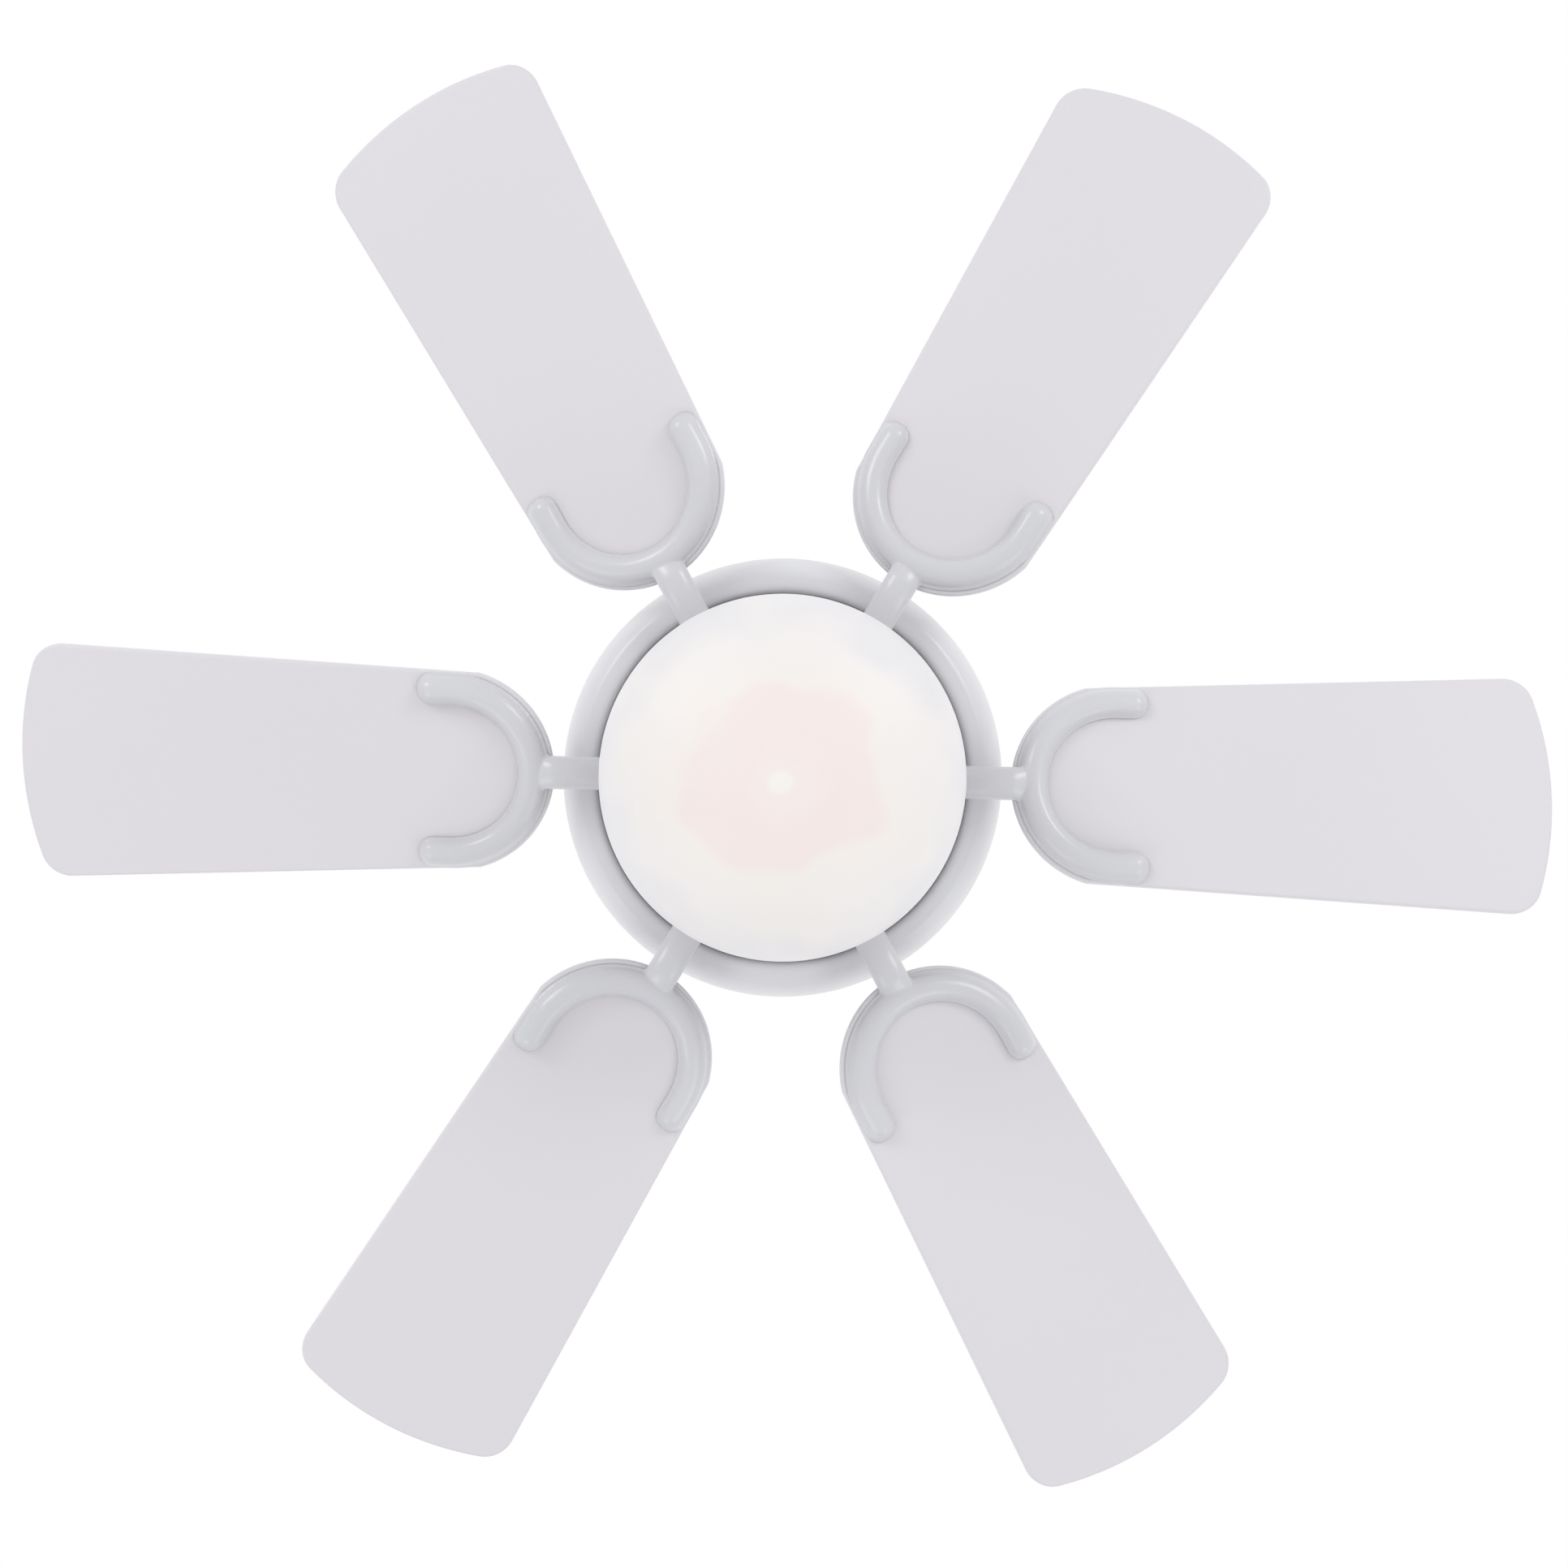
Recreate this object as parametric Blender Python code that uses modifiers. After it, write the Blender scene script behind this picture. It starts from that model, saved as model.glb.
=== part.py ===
# Six-blade ceiling fan with an opal glass light, hanging from a short downrod.
# Metres, +Z up. The origin is the middle of the hanger bracket's top face, in the ceiling plane.
# The assembly order runs from the ceiling down: bracket and canopy, ball and rod, coupler, motor,
# housing, blade irons and blades, switch housing, light fitter, lamp and glass.

from math import acos, asin, atan2, cos, pi, radians, sin, sqrt, tan

import bmesh
import bpy
from mathutils import Matrix, Vector

MM = 0.001
MERGE = 0.00001          # weld distance for turned and welded shapes
GAP = 0.3 * MM           # clearance between pieces that touch on the real fan
SHEET = 1.2 * MM         # pressed sheet steel of canopy, housings and fitter

# Facets around a full turn
LARGE = 32
MEDIUM = 24
SMALL = 16
TINY = 8

# Hanger bracket and canopy
BRACKET_SHEET = 2.0 * MM
BRACKET_LENGTH = 110.0 * MM
BRACKET_WIDTH = 38.0 * MM
TAB_DEPTH = 18.0 * MM
TAB_WIDTH = 16.0 * MM
HANGER_WIDTH = 40.0 * MM
HANGER_CLEARANCE = 2.5 * MM       # beside the ball
BOX_SCREW_SPACING = 88.9 * MM
BOX_SLOT_LENGTH = 10.0 * MM
BOX_SLOT_WIDTH = 5.0 * MM
WIRE_HOLE_RADIUS = 5.0 * MM
WIRE_HOLE_OFFSET = 12.5 * MM
CANOPY_CLEARANCE = 7.0 * MM      # from the bracket's end tabs to the canopy wall
CANOPY_SKIRT = 14.0 * MM         # straight upper part of the canopy
CANOPY_FLOOR_GAP = 7.0 * MM      # below the ball seat
TRIM_HEIGHT = 4.0 * MM
TRIM_WIDTH = 7.0 * MM
CANOPY_SCREW_DEPTH = 10.0 * MM

# Ball joint and downrod
BALL_RADIUS = 22.0 * MM
BALL_HEADROOM = 11.0 * MM
BALL_HALF_HEIGHT = 17.0 * MM
ROD_RADIUS = 9.5 * MM
ROD_WALL = 2.0 * MM
ROD_SEAT_CLEARANCE = 6.5 * MM    # from the rod to the edge of the ball seat
ROD_CANOPY_CLEARANCE = 10.5 * MM
ROD_EXPOSED = 9.0 * MM           # bare rod between canopy trim and coupling cover
ROD_RUNNING_FIT = 1.0 * MM       # where the rod passes through the seat's slot and the cover
PIN_RADIUS = 3.0 * MM
BALL_PIN_RISE = 9.0 * MM
ROD_END_MARGIN = 4.0 * MM
BALL_PIN_INSET = 2.5 * MM

# Coupler and its cover
COVER_HEADROOM = 9.0 * MM
COVER_THROAT = 7.0 * MM           # width of the cover's flat top
COVER_FOOT = 5.0 * MM            # foot outside the coupler's flange
COUPLER_WALL = 5.0 * MM
COUPLER_NECK = 22.0 * MM
ROD_ENGAGEMENT = 18.0 * MM
CLEVIS_DEPTH = 9.0 * MM
SET_SCREW_DEPTH = 6.0 * MM
SET_SCREW_RADIUS = 2.5 * MM
SET_SCREW_LENGTH = 8.5 * MM
CLEVIS_HEAD = 2.0 * MM
CLEVIS_TAIL = 4.4 * MM           # pin past the coupler, drilled for the hairpin
HAIRPIN_WIRE = 0.6 * MM          # radius
FLANGE_RADIUS = 32.0 * MM
FLANGE_THICKNESS = 4.0 * MM
COUPLER_TAIL = 18.0 * MM
COUPLER_TAIL_WALL = 5.7 * MM
END_PLAY = 1.0 * MM              # under the rod, and again above the shaft

# Motor
SHAFT_RADIUS = 6.0 * MM
SHAFT_BORE = 3.4 * MM
BEARING_WIDTH = 7.5 * MM
BEARING_RING = 6.4 * MM          # radial section of a bearing
BEARING_STEP = 0.8 * MM          # shields sunk between the two rings
BEARING_INSET = 1.2 * MM         # upper bearing below the hub's top
HUB_WALL = 4.0 * MM
HUB_HEIGHT = 9.0 * MM
HUB_COLLAR = 2.0 * MM            # lower hub above its bearing
SHAFT_OPENING = 3.0 * MM         # clearance round the shaft in both bells
HUB_RUNNING_GAP = 8.0 * MM
BELL_SHEET = 3.0 * MM
BELL_FLOOR = 4.0 * MM
WINDING_CLEARANCE = 8.0 * MM
WINDING_OVERHANG = 9.0 * MM
STATOR_HEIGHT = 30.0 * MM
STATOR_RADIUS = 59.0 * MM
STATOR_SLOTS = 12
SLOT_DEPTH = 24.0 * MM
SLOT_WIDTH = 13.0 * MM
SLOT_ROOT = 9.75 * MM            # width at the slot's bottom
SLOT_LINER = 1.2 * MM
SLOT_MOUTH = 3.0 * MM
TOOTH_TIP = 4.0 * MM
AIR_GAP = 0.8 * MM
ROTOR_RING = 12.0 * MM           # radial section of the rotor ring
ROTOR_RING_HEIGHT = 26.0 * MM
FLANGE_OVERHANG = 3.5 * MM

# Motor housing
HOUSING_RADIUS = 114.0 * MM
HOUSING_CROWN = 40.0 * MM        # radius of the flat top
HOUSING_TOP_HEIGHT = 52.0 * MM
HOUSING_OVERLAP = 9.0 * MM
HOUSING_STEP = 1.5 * MM          # top shell inside the body's widest part
HOUSING_BELLY = 0.3              # share of the body's depth that stands upright
LIP_RADIUS = 101.5 * MM          # lowest circle of the rolled lip
LIP_RISE = 3.0 * MM              # lip above the rotor's lower face
LIP_ROLL = 8.0 * MM              # width of the roll, towards the rotor
LIP_RETURN = 6.0 * MM            # height of the roll
HOUSING_SCREWS = 3

# Blades
BLADES = 6
FIRST_BLADE = radians(1.4)
BLADE_PITCH = radians(12.0)
BLADE_TIP = 381.0 * MM
BLADE_ROOT = 114.0 * MM
BLADE_ROOT_ARC = 51.5 * MM
BLADE_SHOULDER = 151.0 * MM      # where the root arc meets the straight sides
BLADE_TAPER = radians(2.73)
BLADE_TIP_ARC = 162.0 * MM
BLADE_CORNER = 15.0 * MM
BLADE_THICKNESS = 5.5 * MM
BLADE_DROP = 10.5 * MM           # blade mid plane below the rotor's lower face
BLADE_SCREW_HOLE = 2.4 * MM

# Blade irons
IRON_BAR_WIDTH = 14.0 * MM
IRON_BAR_HEIGHT = 7.5 * MM
IRON_MARGIN = 2.9 * MM           # blade edge outside the bar
IRON_ARM = 9.0 * MM              # straight arm past the end of the arc
STEM_WIDTH = 16.8 * MM
STEM_HEIGHT = 6.5 * MM
FOOT_THICKNESS = 4.0 * MM
FOOT_LENGTH = 26.0 * MM
FOOT_WIDTH = 32.0 * MM
FOOT_CORNER = 6.0 * MM
FOOT_ROOTING = 8.0 * MM          # stem under the foot
STEM_DROP = 18.0 * MM            # length of the stem's bend and landing before the C
STEM_BEND = 2.0 * MM
JOIN_SHRINK = 0.99               # keeps a joined solid inside the faces it meets

# Switch housing
IRON_CLEARANCE = 15.7 * MM       # rotor's lower face to the switch plate
SHAFT_END_RADIUS = 5.0 * MM
SHAFT_TAIL = 12.0 * MM
PLATE_SHEET = 1.6 * MM
PLATE_RADIUS = 55.0 * MM
PLATE_RIM = 9.8 * MM
NUT_HEIGHT = 5.0 * MM
NUT_WALL = 4.2 * MM
SWITCH_HEIGHT = 32.0 * MM
SWITCH_CHAMFER = 4.5 * MM
SIDE_SCREW_DEPTH = 5.0 * MM
SWITCH_SCREWS = 3
SIDE_SCREW_LENGTH = 6.0 * MM
CAPACITOR = Vector((34.0, 16.0, 18.0)) * MM
CAPACITOR_OFFSET = 34.0 * MM
SWITCH_BODY = Vector((22.0, 14.0, 13.0)) * MM
SWITCH_BODY_FRONT = 6.4 * MM     # from the wall's inner side
SLIDER_WIDTH = 5.0 * MM
SLIDER_HEIGHT = 4.0 * MM
SLIDER_TRAVEL = 5.0 * MM
SLIDER_BASE = 2.0 * MM
SLIDER_PROUD = 3.4 * MM
SLIDER_DEPTH = 16.5 * MM
SLIDER_FLANGE = 2.5 * MM         # base wider than the knob

# Light fitter, lamp and glass
NIPPLE_RADIUS = 5.0 * MM
NIPPLE_BORE = 3.4 * MM
NIPPLE_NUT_HEIGHT = 4.0 * MM
FITTER_HEIGHT = 20.0 * MM
FITTER_SHOULDER = 5.0 * MM
NECK_RADIUS = 58.0 * MM
NECK_LENGTH = 16.0 * MM
LUG_REACH = 3.4 * MM
LUG_HEIGHT = 3.8 * MM
LUG_INSET = 1.7 * MM             # lug below the neck's edge
LUG_HALF_ANGLE = radians(7.0)
LEDGE_HALF_ANGLE = radians(9.0)
LEDGE_THICKNESS = 1.8 * MM
LUGS = 3
TWIST_CLEARANCE = 0.9 * MM
NECK_DROP = 6.0 * MM
GLASS_RADIUS = 85.0 * MM
GLASS_HEIGHT = 83.0 * MM
GLASS_SHOULDER = 22.0 * MM       # height of the flare below the neck
GLASS_WALL = 3.0 * MM
HOLDER_LENGTH = 25.0 * MM
HOLDER_WALL = 3.7 * MM
HOLDER_CAP = 5.0 * MM
LAMP_BASE_RADIUS = 13.0 * MM
LAMP_BASE_LENGTH = 21.5 * MM
BULB_RADIUS = 22.5 * MM
BULB_NECK = 11.5 * MM
BULB_WALL = 0.8 * MM

# Common round-head screw for canopy, housing and switch housing
SCREW_HEAD = 3.8 * MM
SCREW_HEAD_HEIGHT = 2.2 * MM
SCREW_SHANK = 2.0 * MM

# Heights, worked down from the ceiling
BALL_Z = -(BRACKET_SHEET + BALL_HEADROOM + BALL_RADIUS)
SEAT_RADIUS = ROD_RADIUS + ROD_SEAT_CLEARANCE
SEAT_Z = BALL_Z - sqrt((BALL_RADIUS + GAP) ** 2 - SEAT_RADIUS ** 2)
CANOPY_RADIUS = BRACKET_LENGTH / 2 + CANOPY_CLEARANCE
CANOPY_BOTTOM = SEAT_Z - BRACKET_SHEET - CANOPY_FLOOR_GAP - SHEET
CANOPY_HOLE = ROD_RADIUS + ROD_CANOPY_CLEARANCE
TRIM_BOTTOM = CANOPY_BOTTOM - GAP - TRIM_HEIGHT
COVER_TOP = TRIM_BOTTOM - ROD_EXPOSED
COUPLER_TOP = COVER_TOP - COVER_HEADROOM
ROD_TOP = BALL_Z + BALL_PIN_RISE + ROD_END_MARGIN
ROD_BOTTOM = COUPLER_TOP - ROD_ENGAGEMENT
CLEVIS_Z = COUPLER_TOP - CLEVIS_DEPTH
HOUSING_TOP = COUPLER_TOP - COUPLER_NECK
FLANGE_TOP = HOUSING_TOP - SHEET - GAP
COUPLER_BOTTOM = FLANGE_TOP - FLANGE_THICKNESS - COUPLER_TAIL
COUPLER_RADIUS = ROD_RADIUS + GAP + COUPLER_WALL
HUB_TOP = COUPLER_BOTTOM - HUB_RUNNING_GAP
MOTOR_TOP = HUB_TOP - HUB_HEIGHT
STATOR_TOP = MOTOR_TOP - BELL_SHEET - WINDING_CLEARANCE - WINDING_OVERHANG
STATOR_BOTTOM = STATOR_TOP - STATOR_HEIGHT
BELL_FLOOR_TOP = STATOR_BOTTOM - WINDING_OVERHANG - WINDING_CLEARANCE
MOTOR_BOTTOM = BELL_FLOOR_TOP - BELL_FLOOR
BELL_SPLIT = (STATOR_TOP + STATOR_BOTTOM) / 2
BEARING_RADIUS = SHAFT_RADIUS + GAP + BEARING_RING
HUB_RADIUS = BEARING_RADIUS + GAP + HUB_WALL
RING_INNER = STATOR_RADIUS + AIR_GAP
RING_OUTER = RING_INNER + ROTOR_RING
BELL_RADIUS = RING_OUTER + GAP + BELL_SHEET
SEAM_Z = HOUSING_TOP - HOUSING_TOP_HEIGHT
LIP_Z = MOTOR_BOTTOM + LIP_RISE
BLADE_Z = MOTOR_BOTTOM - BLADE_DROP
PLATE_TOP = MOTOR_BOTTOM - IRON_CLEARANCE
SWITCH_TOP = PLATE_TOP + 1.0 * MM
SWITCH_BOTTOM = SWITCH_TOP - SWITCH_HEIGHT
SWITCH_RADIUS = PLATE_RADIUS + GAP + SHEET
SLIDER_Z = SWITCH_TOP - SLIDER_DEPTH
FITTER_TOP = SWITCH_BOTTOM - GAP
FITTER_BOTTOM = FITTER_TOP - FITTER_HEIGHT
FITTER_RADIUS = NECK_RADIUS + LUG_REACH + TWIST_CLEARANCE + SHEET
NECK_TOP = FITTER_TOP - NECK_DROP
LUG_BOTTOM = NECK_TOP - LUG_INSET - LUG_HEIGHT
GLASS_BOTTOM = NECK_TOP - GLASS_HEIGHT
HOLDER_TOP = FITTER_TOP - SHEET - GAP
HOLDER_BOTTOM = HOLDER_TOP - HOLDER_LENGTH
LAMP_TOP = HOLDER_TOP - HOLDER_CAP - 2 * GAP
LAMP_NECK = LAMP_TOP - LAMP_BASE_LENGTH
FASTENER_HOLE = SCREW_SHANK + GAP

# Finishes: colour, roughness, metallic
WHITE_PAINT = ((0.80, 0.80, 0.81), 0.42, 0.0)
STEEL = ((0.62, 0.63, 0.65), 0.35, 1.0)
ZINC = ((0.55, 0.56, 0.58), 0.45, 1.0)
CAST_ALUMINIUM = ((0.66, 0.67, 0.68), 0.5, 1.0)
LAMINATION = ((0.28, 0.28, 0.30), 0.55, 0.9)
COPPER = ((0.72, 0.34, 0.16), 0.35, 0.9)
BLACK_PLASTIC = ((0.03, 0.03, 0.03), 0.5, 0.0)
IVORY_PLASTIC = ((0.75, 0.72, 0.65), 0.45, 0.0)
PORCELAIN = ((0.85, 0.84, 0.80), 0.25, 0.0)
NYLON = ((0.82, 0.81, 0.76), 0.5, 0.0)
OPAL_GLASS = ((0.93, 0.92, 0.90), 0.2, 0.0)
BRASS = ((0.72, 0.55, 0.28), 0.35, 1.0)
BARE_BLADE = ((0.78, 0.78, 0.80), 0.45, 0.0)

for old in list(bpy.data.objects):
    bpy.data.objects.remove(old)

parts = bpy.data.collections.new("ceiling_fan_with_light")
cutters = bpy.data.collections.new("cutters")
bpy.context.scene.collection.children.link(parts)
bpy.context.scene.collection.children.link(cutters)


# ---------------------------------------------------------------- tools

def add(name, data, collection=parts):
    """Link a new object at the origin."""
    obj = bpy.data.objects.new(name, data)
    collection.objects.link(obj)
    return obj


def pivot(name, z):
    """An empty on a joint's axis, at the given height."""
    empty = add(name, None)
    empty.location = (0, 0, z)
    return empty


def hang(obj, parent):
    """Parent a piece that is modelled in place to a pivot."""
    obj.parent = parent
    obj.matrix_parent_inverse = Matrix.Translation(-Vector(parent.location))


def finish(obj, look):
    """Give a piece its own material."""
    colour, roughness, metallic = look
    material = bpy.data.materials.new(obj.name)
    material.use_nodes = True
    shader = material.node_tree.nodes["Principled BSDF"]
    shader.inputs["Base Color"].default_value = (*colour, 1)
    shader.inputs["Roughness"].default_value = roughness
    shader.inputs["Metallic"].default_value = metallic
    obj.data.materials.clear()
    obj.data.materials.append(material)


def turned(name, profile, steps, closed=True, wall=None, collection=parts):
    """Turn an (r, z) profile about Z, started down its outer side; a wall grows inward from an open one."""
    count = len(profile)
    edges = [(i, i + 1) for i in range(count - 1)]
    if closed:
        edges.append((count - 1, 0))
    mesh = bpy.data.meshes.new(name)
    mesh.from_pydata([(r, 0, z) for r, z in profile], edges, [])
    obj = add(name, mesh, collection)
    screw = obj.modifiers.new("turn", "SCREW")
    screw.steps = steps
    screw.render_steps = steps
    screw.use_merge_vertices = True
    screw.merge_threshold = MERGE
    screw.use_smooth_shade = True
    if wall:
        shell = obj.modifiers.new("wall", "SOLIDIFY")
        shell.thickness = wall
        shell.offset = -1
        shell.use_even_offset = True
    return obj


def arc(centre, radii, start, end, count):
    """Points of an elliptical arc, with both ends."""
    turn = [start + (end - start) * i / count for i in range(count + 1)]
    return [(centre[0] + radii[0] * cos(a), centre[1] + radii[1] * sin(a)) for a in turn]


def frozen(obj, collection=parts):
    """Replace an object by its evaluated mesh, welded, so that it can be cut and joined."""
    bpy.context.view_layer.update()
    graph = bpy.context.evaluated_depsgraph_get()
    mesh = bpy.data.meshes.new_from_object(obj.evaluated_get(graph))
    shape = bmesh.new()
    shape.from_mesh(mesh)
    bmesh.ops.remove_doubles(shape, verts=shape.verts, dist=MERGE)
    shape.to_mesh(mesh)
    shape.free()
    name, place = obj.name, obj.matrix_world.copy()
    bpy.data.objects.remove(obj)
    solid = add(name, mesh, collection)
    solid.matrix_world = place
    return solid


def plate(name, outline, top, thickness, collection=parts):
    """A flat outline, extruded down from its top face."""
    curve = bpy.data.curves.new(name, "CURVE")
    curve.dimensions = "2D"
    curve.fill_mode = "BOTH"
    curve.extrude = thickness / 2
    spline = curve.splines.new("POLY")
    spline.points.add(len(outline) - 1)
    spline.use_cyclic_u = True
    for point, (x, y) in zip(spline.points, outline):
        point.co = (x, y, 0, 1)
    obj = add(name, curve, collection)
    obj.location.z = top - thickness / 2
    return frozen(obj, collection)


def block(name, low, high, collection=parts):
    """A box between two corners."""
    low, high = Vector(low), Vector(high)
    mesh = bpy.data.meshes.new(name)
    shape = bmesh.new()
    bmesh.ops.create_cube(shape, size=1)
    bmesh.ops.scale(shape, vec=high - low, verts=shape.verts)
    bmesh.ops.translate(shape, vec=(low + high) / 2, verts=shape.verts)
    shape.to_mesh(mesh)
    shape.free()
    return add(name, mesh, collection)


def cylinder(name, radius, length, centre, axis="Z", steps=SMALL, turn=0.0, collection=parts):
    """A plain cylinder about a point; axis R is radial, at the angle turn about Z."""
    mesh = bpy.data.meshes.new(name)
    shape = bmesh.new()
    bmesh.ops.create_cone(shape, segments=steps, radius1=radius, radius2=radius, depth=length, cap_ends=True)
    shape.to_mesh(mesh)
    shape.free()
    obj = add(name, mesh, collection)
    obj.location = centre
    tilt = {"Z": (0, 0, 0), "X": (0, pi / 2, 0), "Y": (pi / 2, 0, 0), "R": (0, pi / 2, turn)}
    obj.rotation_euler = tilt[axis]
    return obj


def rounded(obj, width, segments=1, angle=radians(50)):
    """Soften the sharp edges of a piece."""
    bevel = obj.modifiers.new("edges", "BEVEL")
    bevel.width = width
    bevel.segments = segments
    bevel.limit_method = "ANGLE"
    bevel.angle_limit = angle


def boolean(obj, tool, operation):
    """Cut with, or join, a tool that stays in the cutters collection."""
    tool.hide_render = True
    tool.display_type = "WIRE"
    step = obj.modifiers.new(tool.name, "BOOLEAN")
    step.operation = operation
    step.object = tool


def cut(obj, tool):
    boolean(obj, tool, "DIFFERENCE")


def join(obj, tool):
    boolean(obj, tool, "UNION")


def polar(radius, angle, z=0.0):
    return Vector((radius * cos(angle), radius * sin(angle), z))


def round_screw(name, seat, angle, z, length):
    """A round-head screw driven towards the axis, its head on a wall of the given radius."""
    head = arc((0, 0), (SCREW_HEAD, SCREW_HEAD_HEIGHT), pi / 2, 0, 3)
    shank = [(SCREW_SHANK, 0), (SCREW_SHANK, -length), (0, -length)]
    screw = turned(name, head + shank, TINY, closed=False)
    screw.location = polar(seat + GAP, angle, z)
    screw.rotation_euler = (0, pi / 2, angle)
    return screw


def screw_hole(name, radius, angle, z):
    """A cutter for a radial screw, through every wall near the given radius."""
    reach = 16 * MM
    return cylinder(name, FASTENER_HOLE, reach, polar(radius, angle, z), "R", TINY, angle, cutters)


# ---------------------------------------------------------------- ceiling side

def folded_strip(name, path, width):
    """Sheet folded along an (x, z) path and as wide as stated along Y, its thickness centred on the path."""
    mesh = bpy.data.meshes.new(name)
    shape = bmesh.new()
    verts = [shape.verts.new((x, -width / 2, z)) for x, z in path]
    edges = [shape.edges.new(pair) for pair in zip(verts, verts[1:])]
    grown = bmesh.ops.extrude_edge_only(shape, edges=edges)
    moved = [item for item in grown["geom"] if isinstance(item, bmesh.types.BMVert)]
    bmesh.ops.translate(shape, vec=(0, width, 0), verts=moved)
    bmesh.ops.recalc_face_normals(shape, faces=shape.faces)
    shape.to_mesh(mesh)
    shape.free()
    obj = add(name, mesh)
    shell = obj.modifiers.new("sheet", "SOLIDIFY")
    shell.thickness = BRACKET_SHEET
    shell.offset = 0
    shell.use_even_offset = True
    return obj


def make_bracket():
    """Pressed steel bracket: a strap against the ceiling and a hanger under it that the ball sits in."""
    mid = -BRACKET_SHEET / 2
    end = (BRACKET_LENGTH - BRACKET_SHEET) / 2
    strap = folded_strip("hanger_bracket", [(-end, mid), (end, mid)], BRACKET_WIDTH)
    hang_x = BALL_RADIUS + HANGER_CLEARANCE + BRACKET_SHEET / 2
    floor = SEAT_Z - BRACKET_SHEET / 2
    path = [(-hang_x, mid), (-hang_x, floor), (hang_x, floor), (hang_x, mid)]
    hanger = folded_strip("bracket_hanger", path, HANGER_WIDTH)
    cutters.objects.link(hanger)
    parts.objects.unlink(hanger)
    join(strap, hanger)
    for side in (-1, 1):
        outer = side * BRACKET_LENGTH / 2
        inner = side * (BRACKET_LENGTH / 2 - BRACKET_SHEET)
        low = (min(outer, inner), -TAB_WIDTH / 2, -TAB_DEPTH)
        high = (max(outer, inner), TAB_WIDTH / 2, mid)
        join(strap, block("bracket_tab", low, high, cutters))
    deep = 3 * BRACKET_SHEET
    cut(strap, cylinder("seat_hole", SEAT_RADIUS, deep, (0, 0, floor), steps=MEDIUM, collection=cutters))
    slot = ROD_RADIUS + ROD_RUNNING_FIT
    cut(strap, block("seat_slot", (-slot, 0, floor - deep), (slot, HANGER_WIDTH, floor + deep), cutters))
    for side in (-1, 1):
        x = side * BOX_SCREW_SPACING / 2
        half = (BOX_SLOT_LENGTH / 2, BOX_SLOT_WIDTH / 2)
        low = (x - half[0], -half[1], -deep)
        cut(strap, block("box_slot", low, (x + half[0], half[1], deep), cutters))
        hole = (0, side * WIRE_HOLE_OFFSET, 0)
        cut(strap, cylinder("wire_hole", WIRE_HOLE_RADIUS, 2 * deep, hole, steps=TINY, collection=cutters))
        angle = 0 if side > 0 else pi
        cut(strap, screw_hole("tab_hole", BRACKET_LENGTH / 2, angle, -CANOPY_SCREW_DEPTH))
    finish(strap, ZINC)


def make_canopy():
    """Bell-shaped canopy over the bracket, its trim ring, and the two screws into the bracket's tabs."""
    reach = (CANOPY_RADIUS - CANOPY_HOLE, -CANOPY_BOTTOM - CANOPY_SKIRT)
    bend = arc((CANOPY_HOLE, -CANOPY_SKIRT), reach, 0, -pi / 2, 5)
    canopy = turned("canopy", [(CANOPY_RADIUS, -GAP)] + bend, LARGE, closed=False, wall=SHEET)
    for index, angle in enumerate((0, pi), 1):
        cut(canopy, screw_hole("canopy_hole", CANOPY_RADIUS, angle, -CANOPY_SCREW_DEPTH))
        length = CANOPY_CLEARANCE + 3 * BRACKET_SHEET
        screw = round_screw(f"canopy_screw_{index}", CANOPY_RADIUS, angle, -CANOPY_SCREW_DEPTH, length)
        finish(screw, WHITE_PAINT)
    finish(canopy, WHITE_PAINT)
    top, low = CANOPY_BOTTOM - GAP, TRIM_BOTTOM
    outer = CANOPY_HOLE + TRIM_WIDTH
    soft = TRIM_HEIGHT / 2
    profile = [(outer, top), (outer, low + soft), (outer - soft, low),
               (CANOPY_HOLE, low), (CANOPY_HOLE, top)]
    finish(turned("canopy_trim_ring", profile, LARGE), WHITE_PAINT)


# ---------------------------------------------------------------- ball, rod and coupler

def make_ball_and_rod(frame):
    """Nylon hanger ball on the steel downrod, locked by a cross pin that lies in the ball's groove."""
    reach = acos(BALL_HALF_HEIGHT / BALL_RADIUS)
    outer = arc((0, BALL_Z), (BALL_RADIUS, BALL_RADIUS), pi / 2 - reach, reach - pi / 2, 6)
    bore = ROD_RADIUS + GAP
    low, high = BALL_Z - BALL_HALF_HEIGHT, BALL_Z + BALL_HALF_HEIGHT
    ball = turned("hanger_ball", outer + [(bore, low), (bore, high)], MEDIUM)
    groove = PIN_RADIUS + GAP
    pin_z = BALL_Z + BALL_PIN_RISE
    corner = (2 * BALL_RADIUS, groove, 2 * high - BALL_Z)
    cut(ball, block("ball_groove", (-2 * BALL_RADIUS, -groove, pin_z - groove), corner, cutters))
    finish(ball, NYLON)
    inner = ROD_RADIUS - ROD_WALL
    tube = [(ROD_RADIUS, ROD_TOP), (ROD_RADIUS, ROD_BOTTOM), (inner, ROD_BOTTOM), (inner, ROD_TOP)]
    rod = turned("downrod", tube, SMALL)
    for z in (pin_z, CLEVIS_Z):
        hole = PIN_RADIUS + GAP
        cut(rod, cylinder("rod_hole", hole, 4 * ROD_RADIUS, (0, 0, z), "X", TINY, collection=cutters))
    finish(rod, WHITE_PAINT)
    half = sqrt(BALL_RADIUS ** 2 - (BALL_PIN_RISE + PIN_RADIUS) ** 2) - BALL_PIN_INSET
    pin = cylinder("ball_pin", PIN_RADIUS, 2 * half, (0, 0, pin_z), "X", TINY)
    finish(pin, STEEL)
    for piece in (ball, rod, pin):
        hang(piece, frame)


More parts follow.
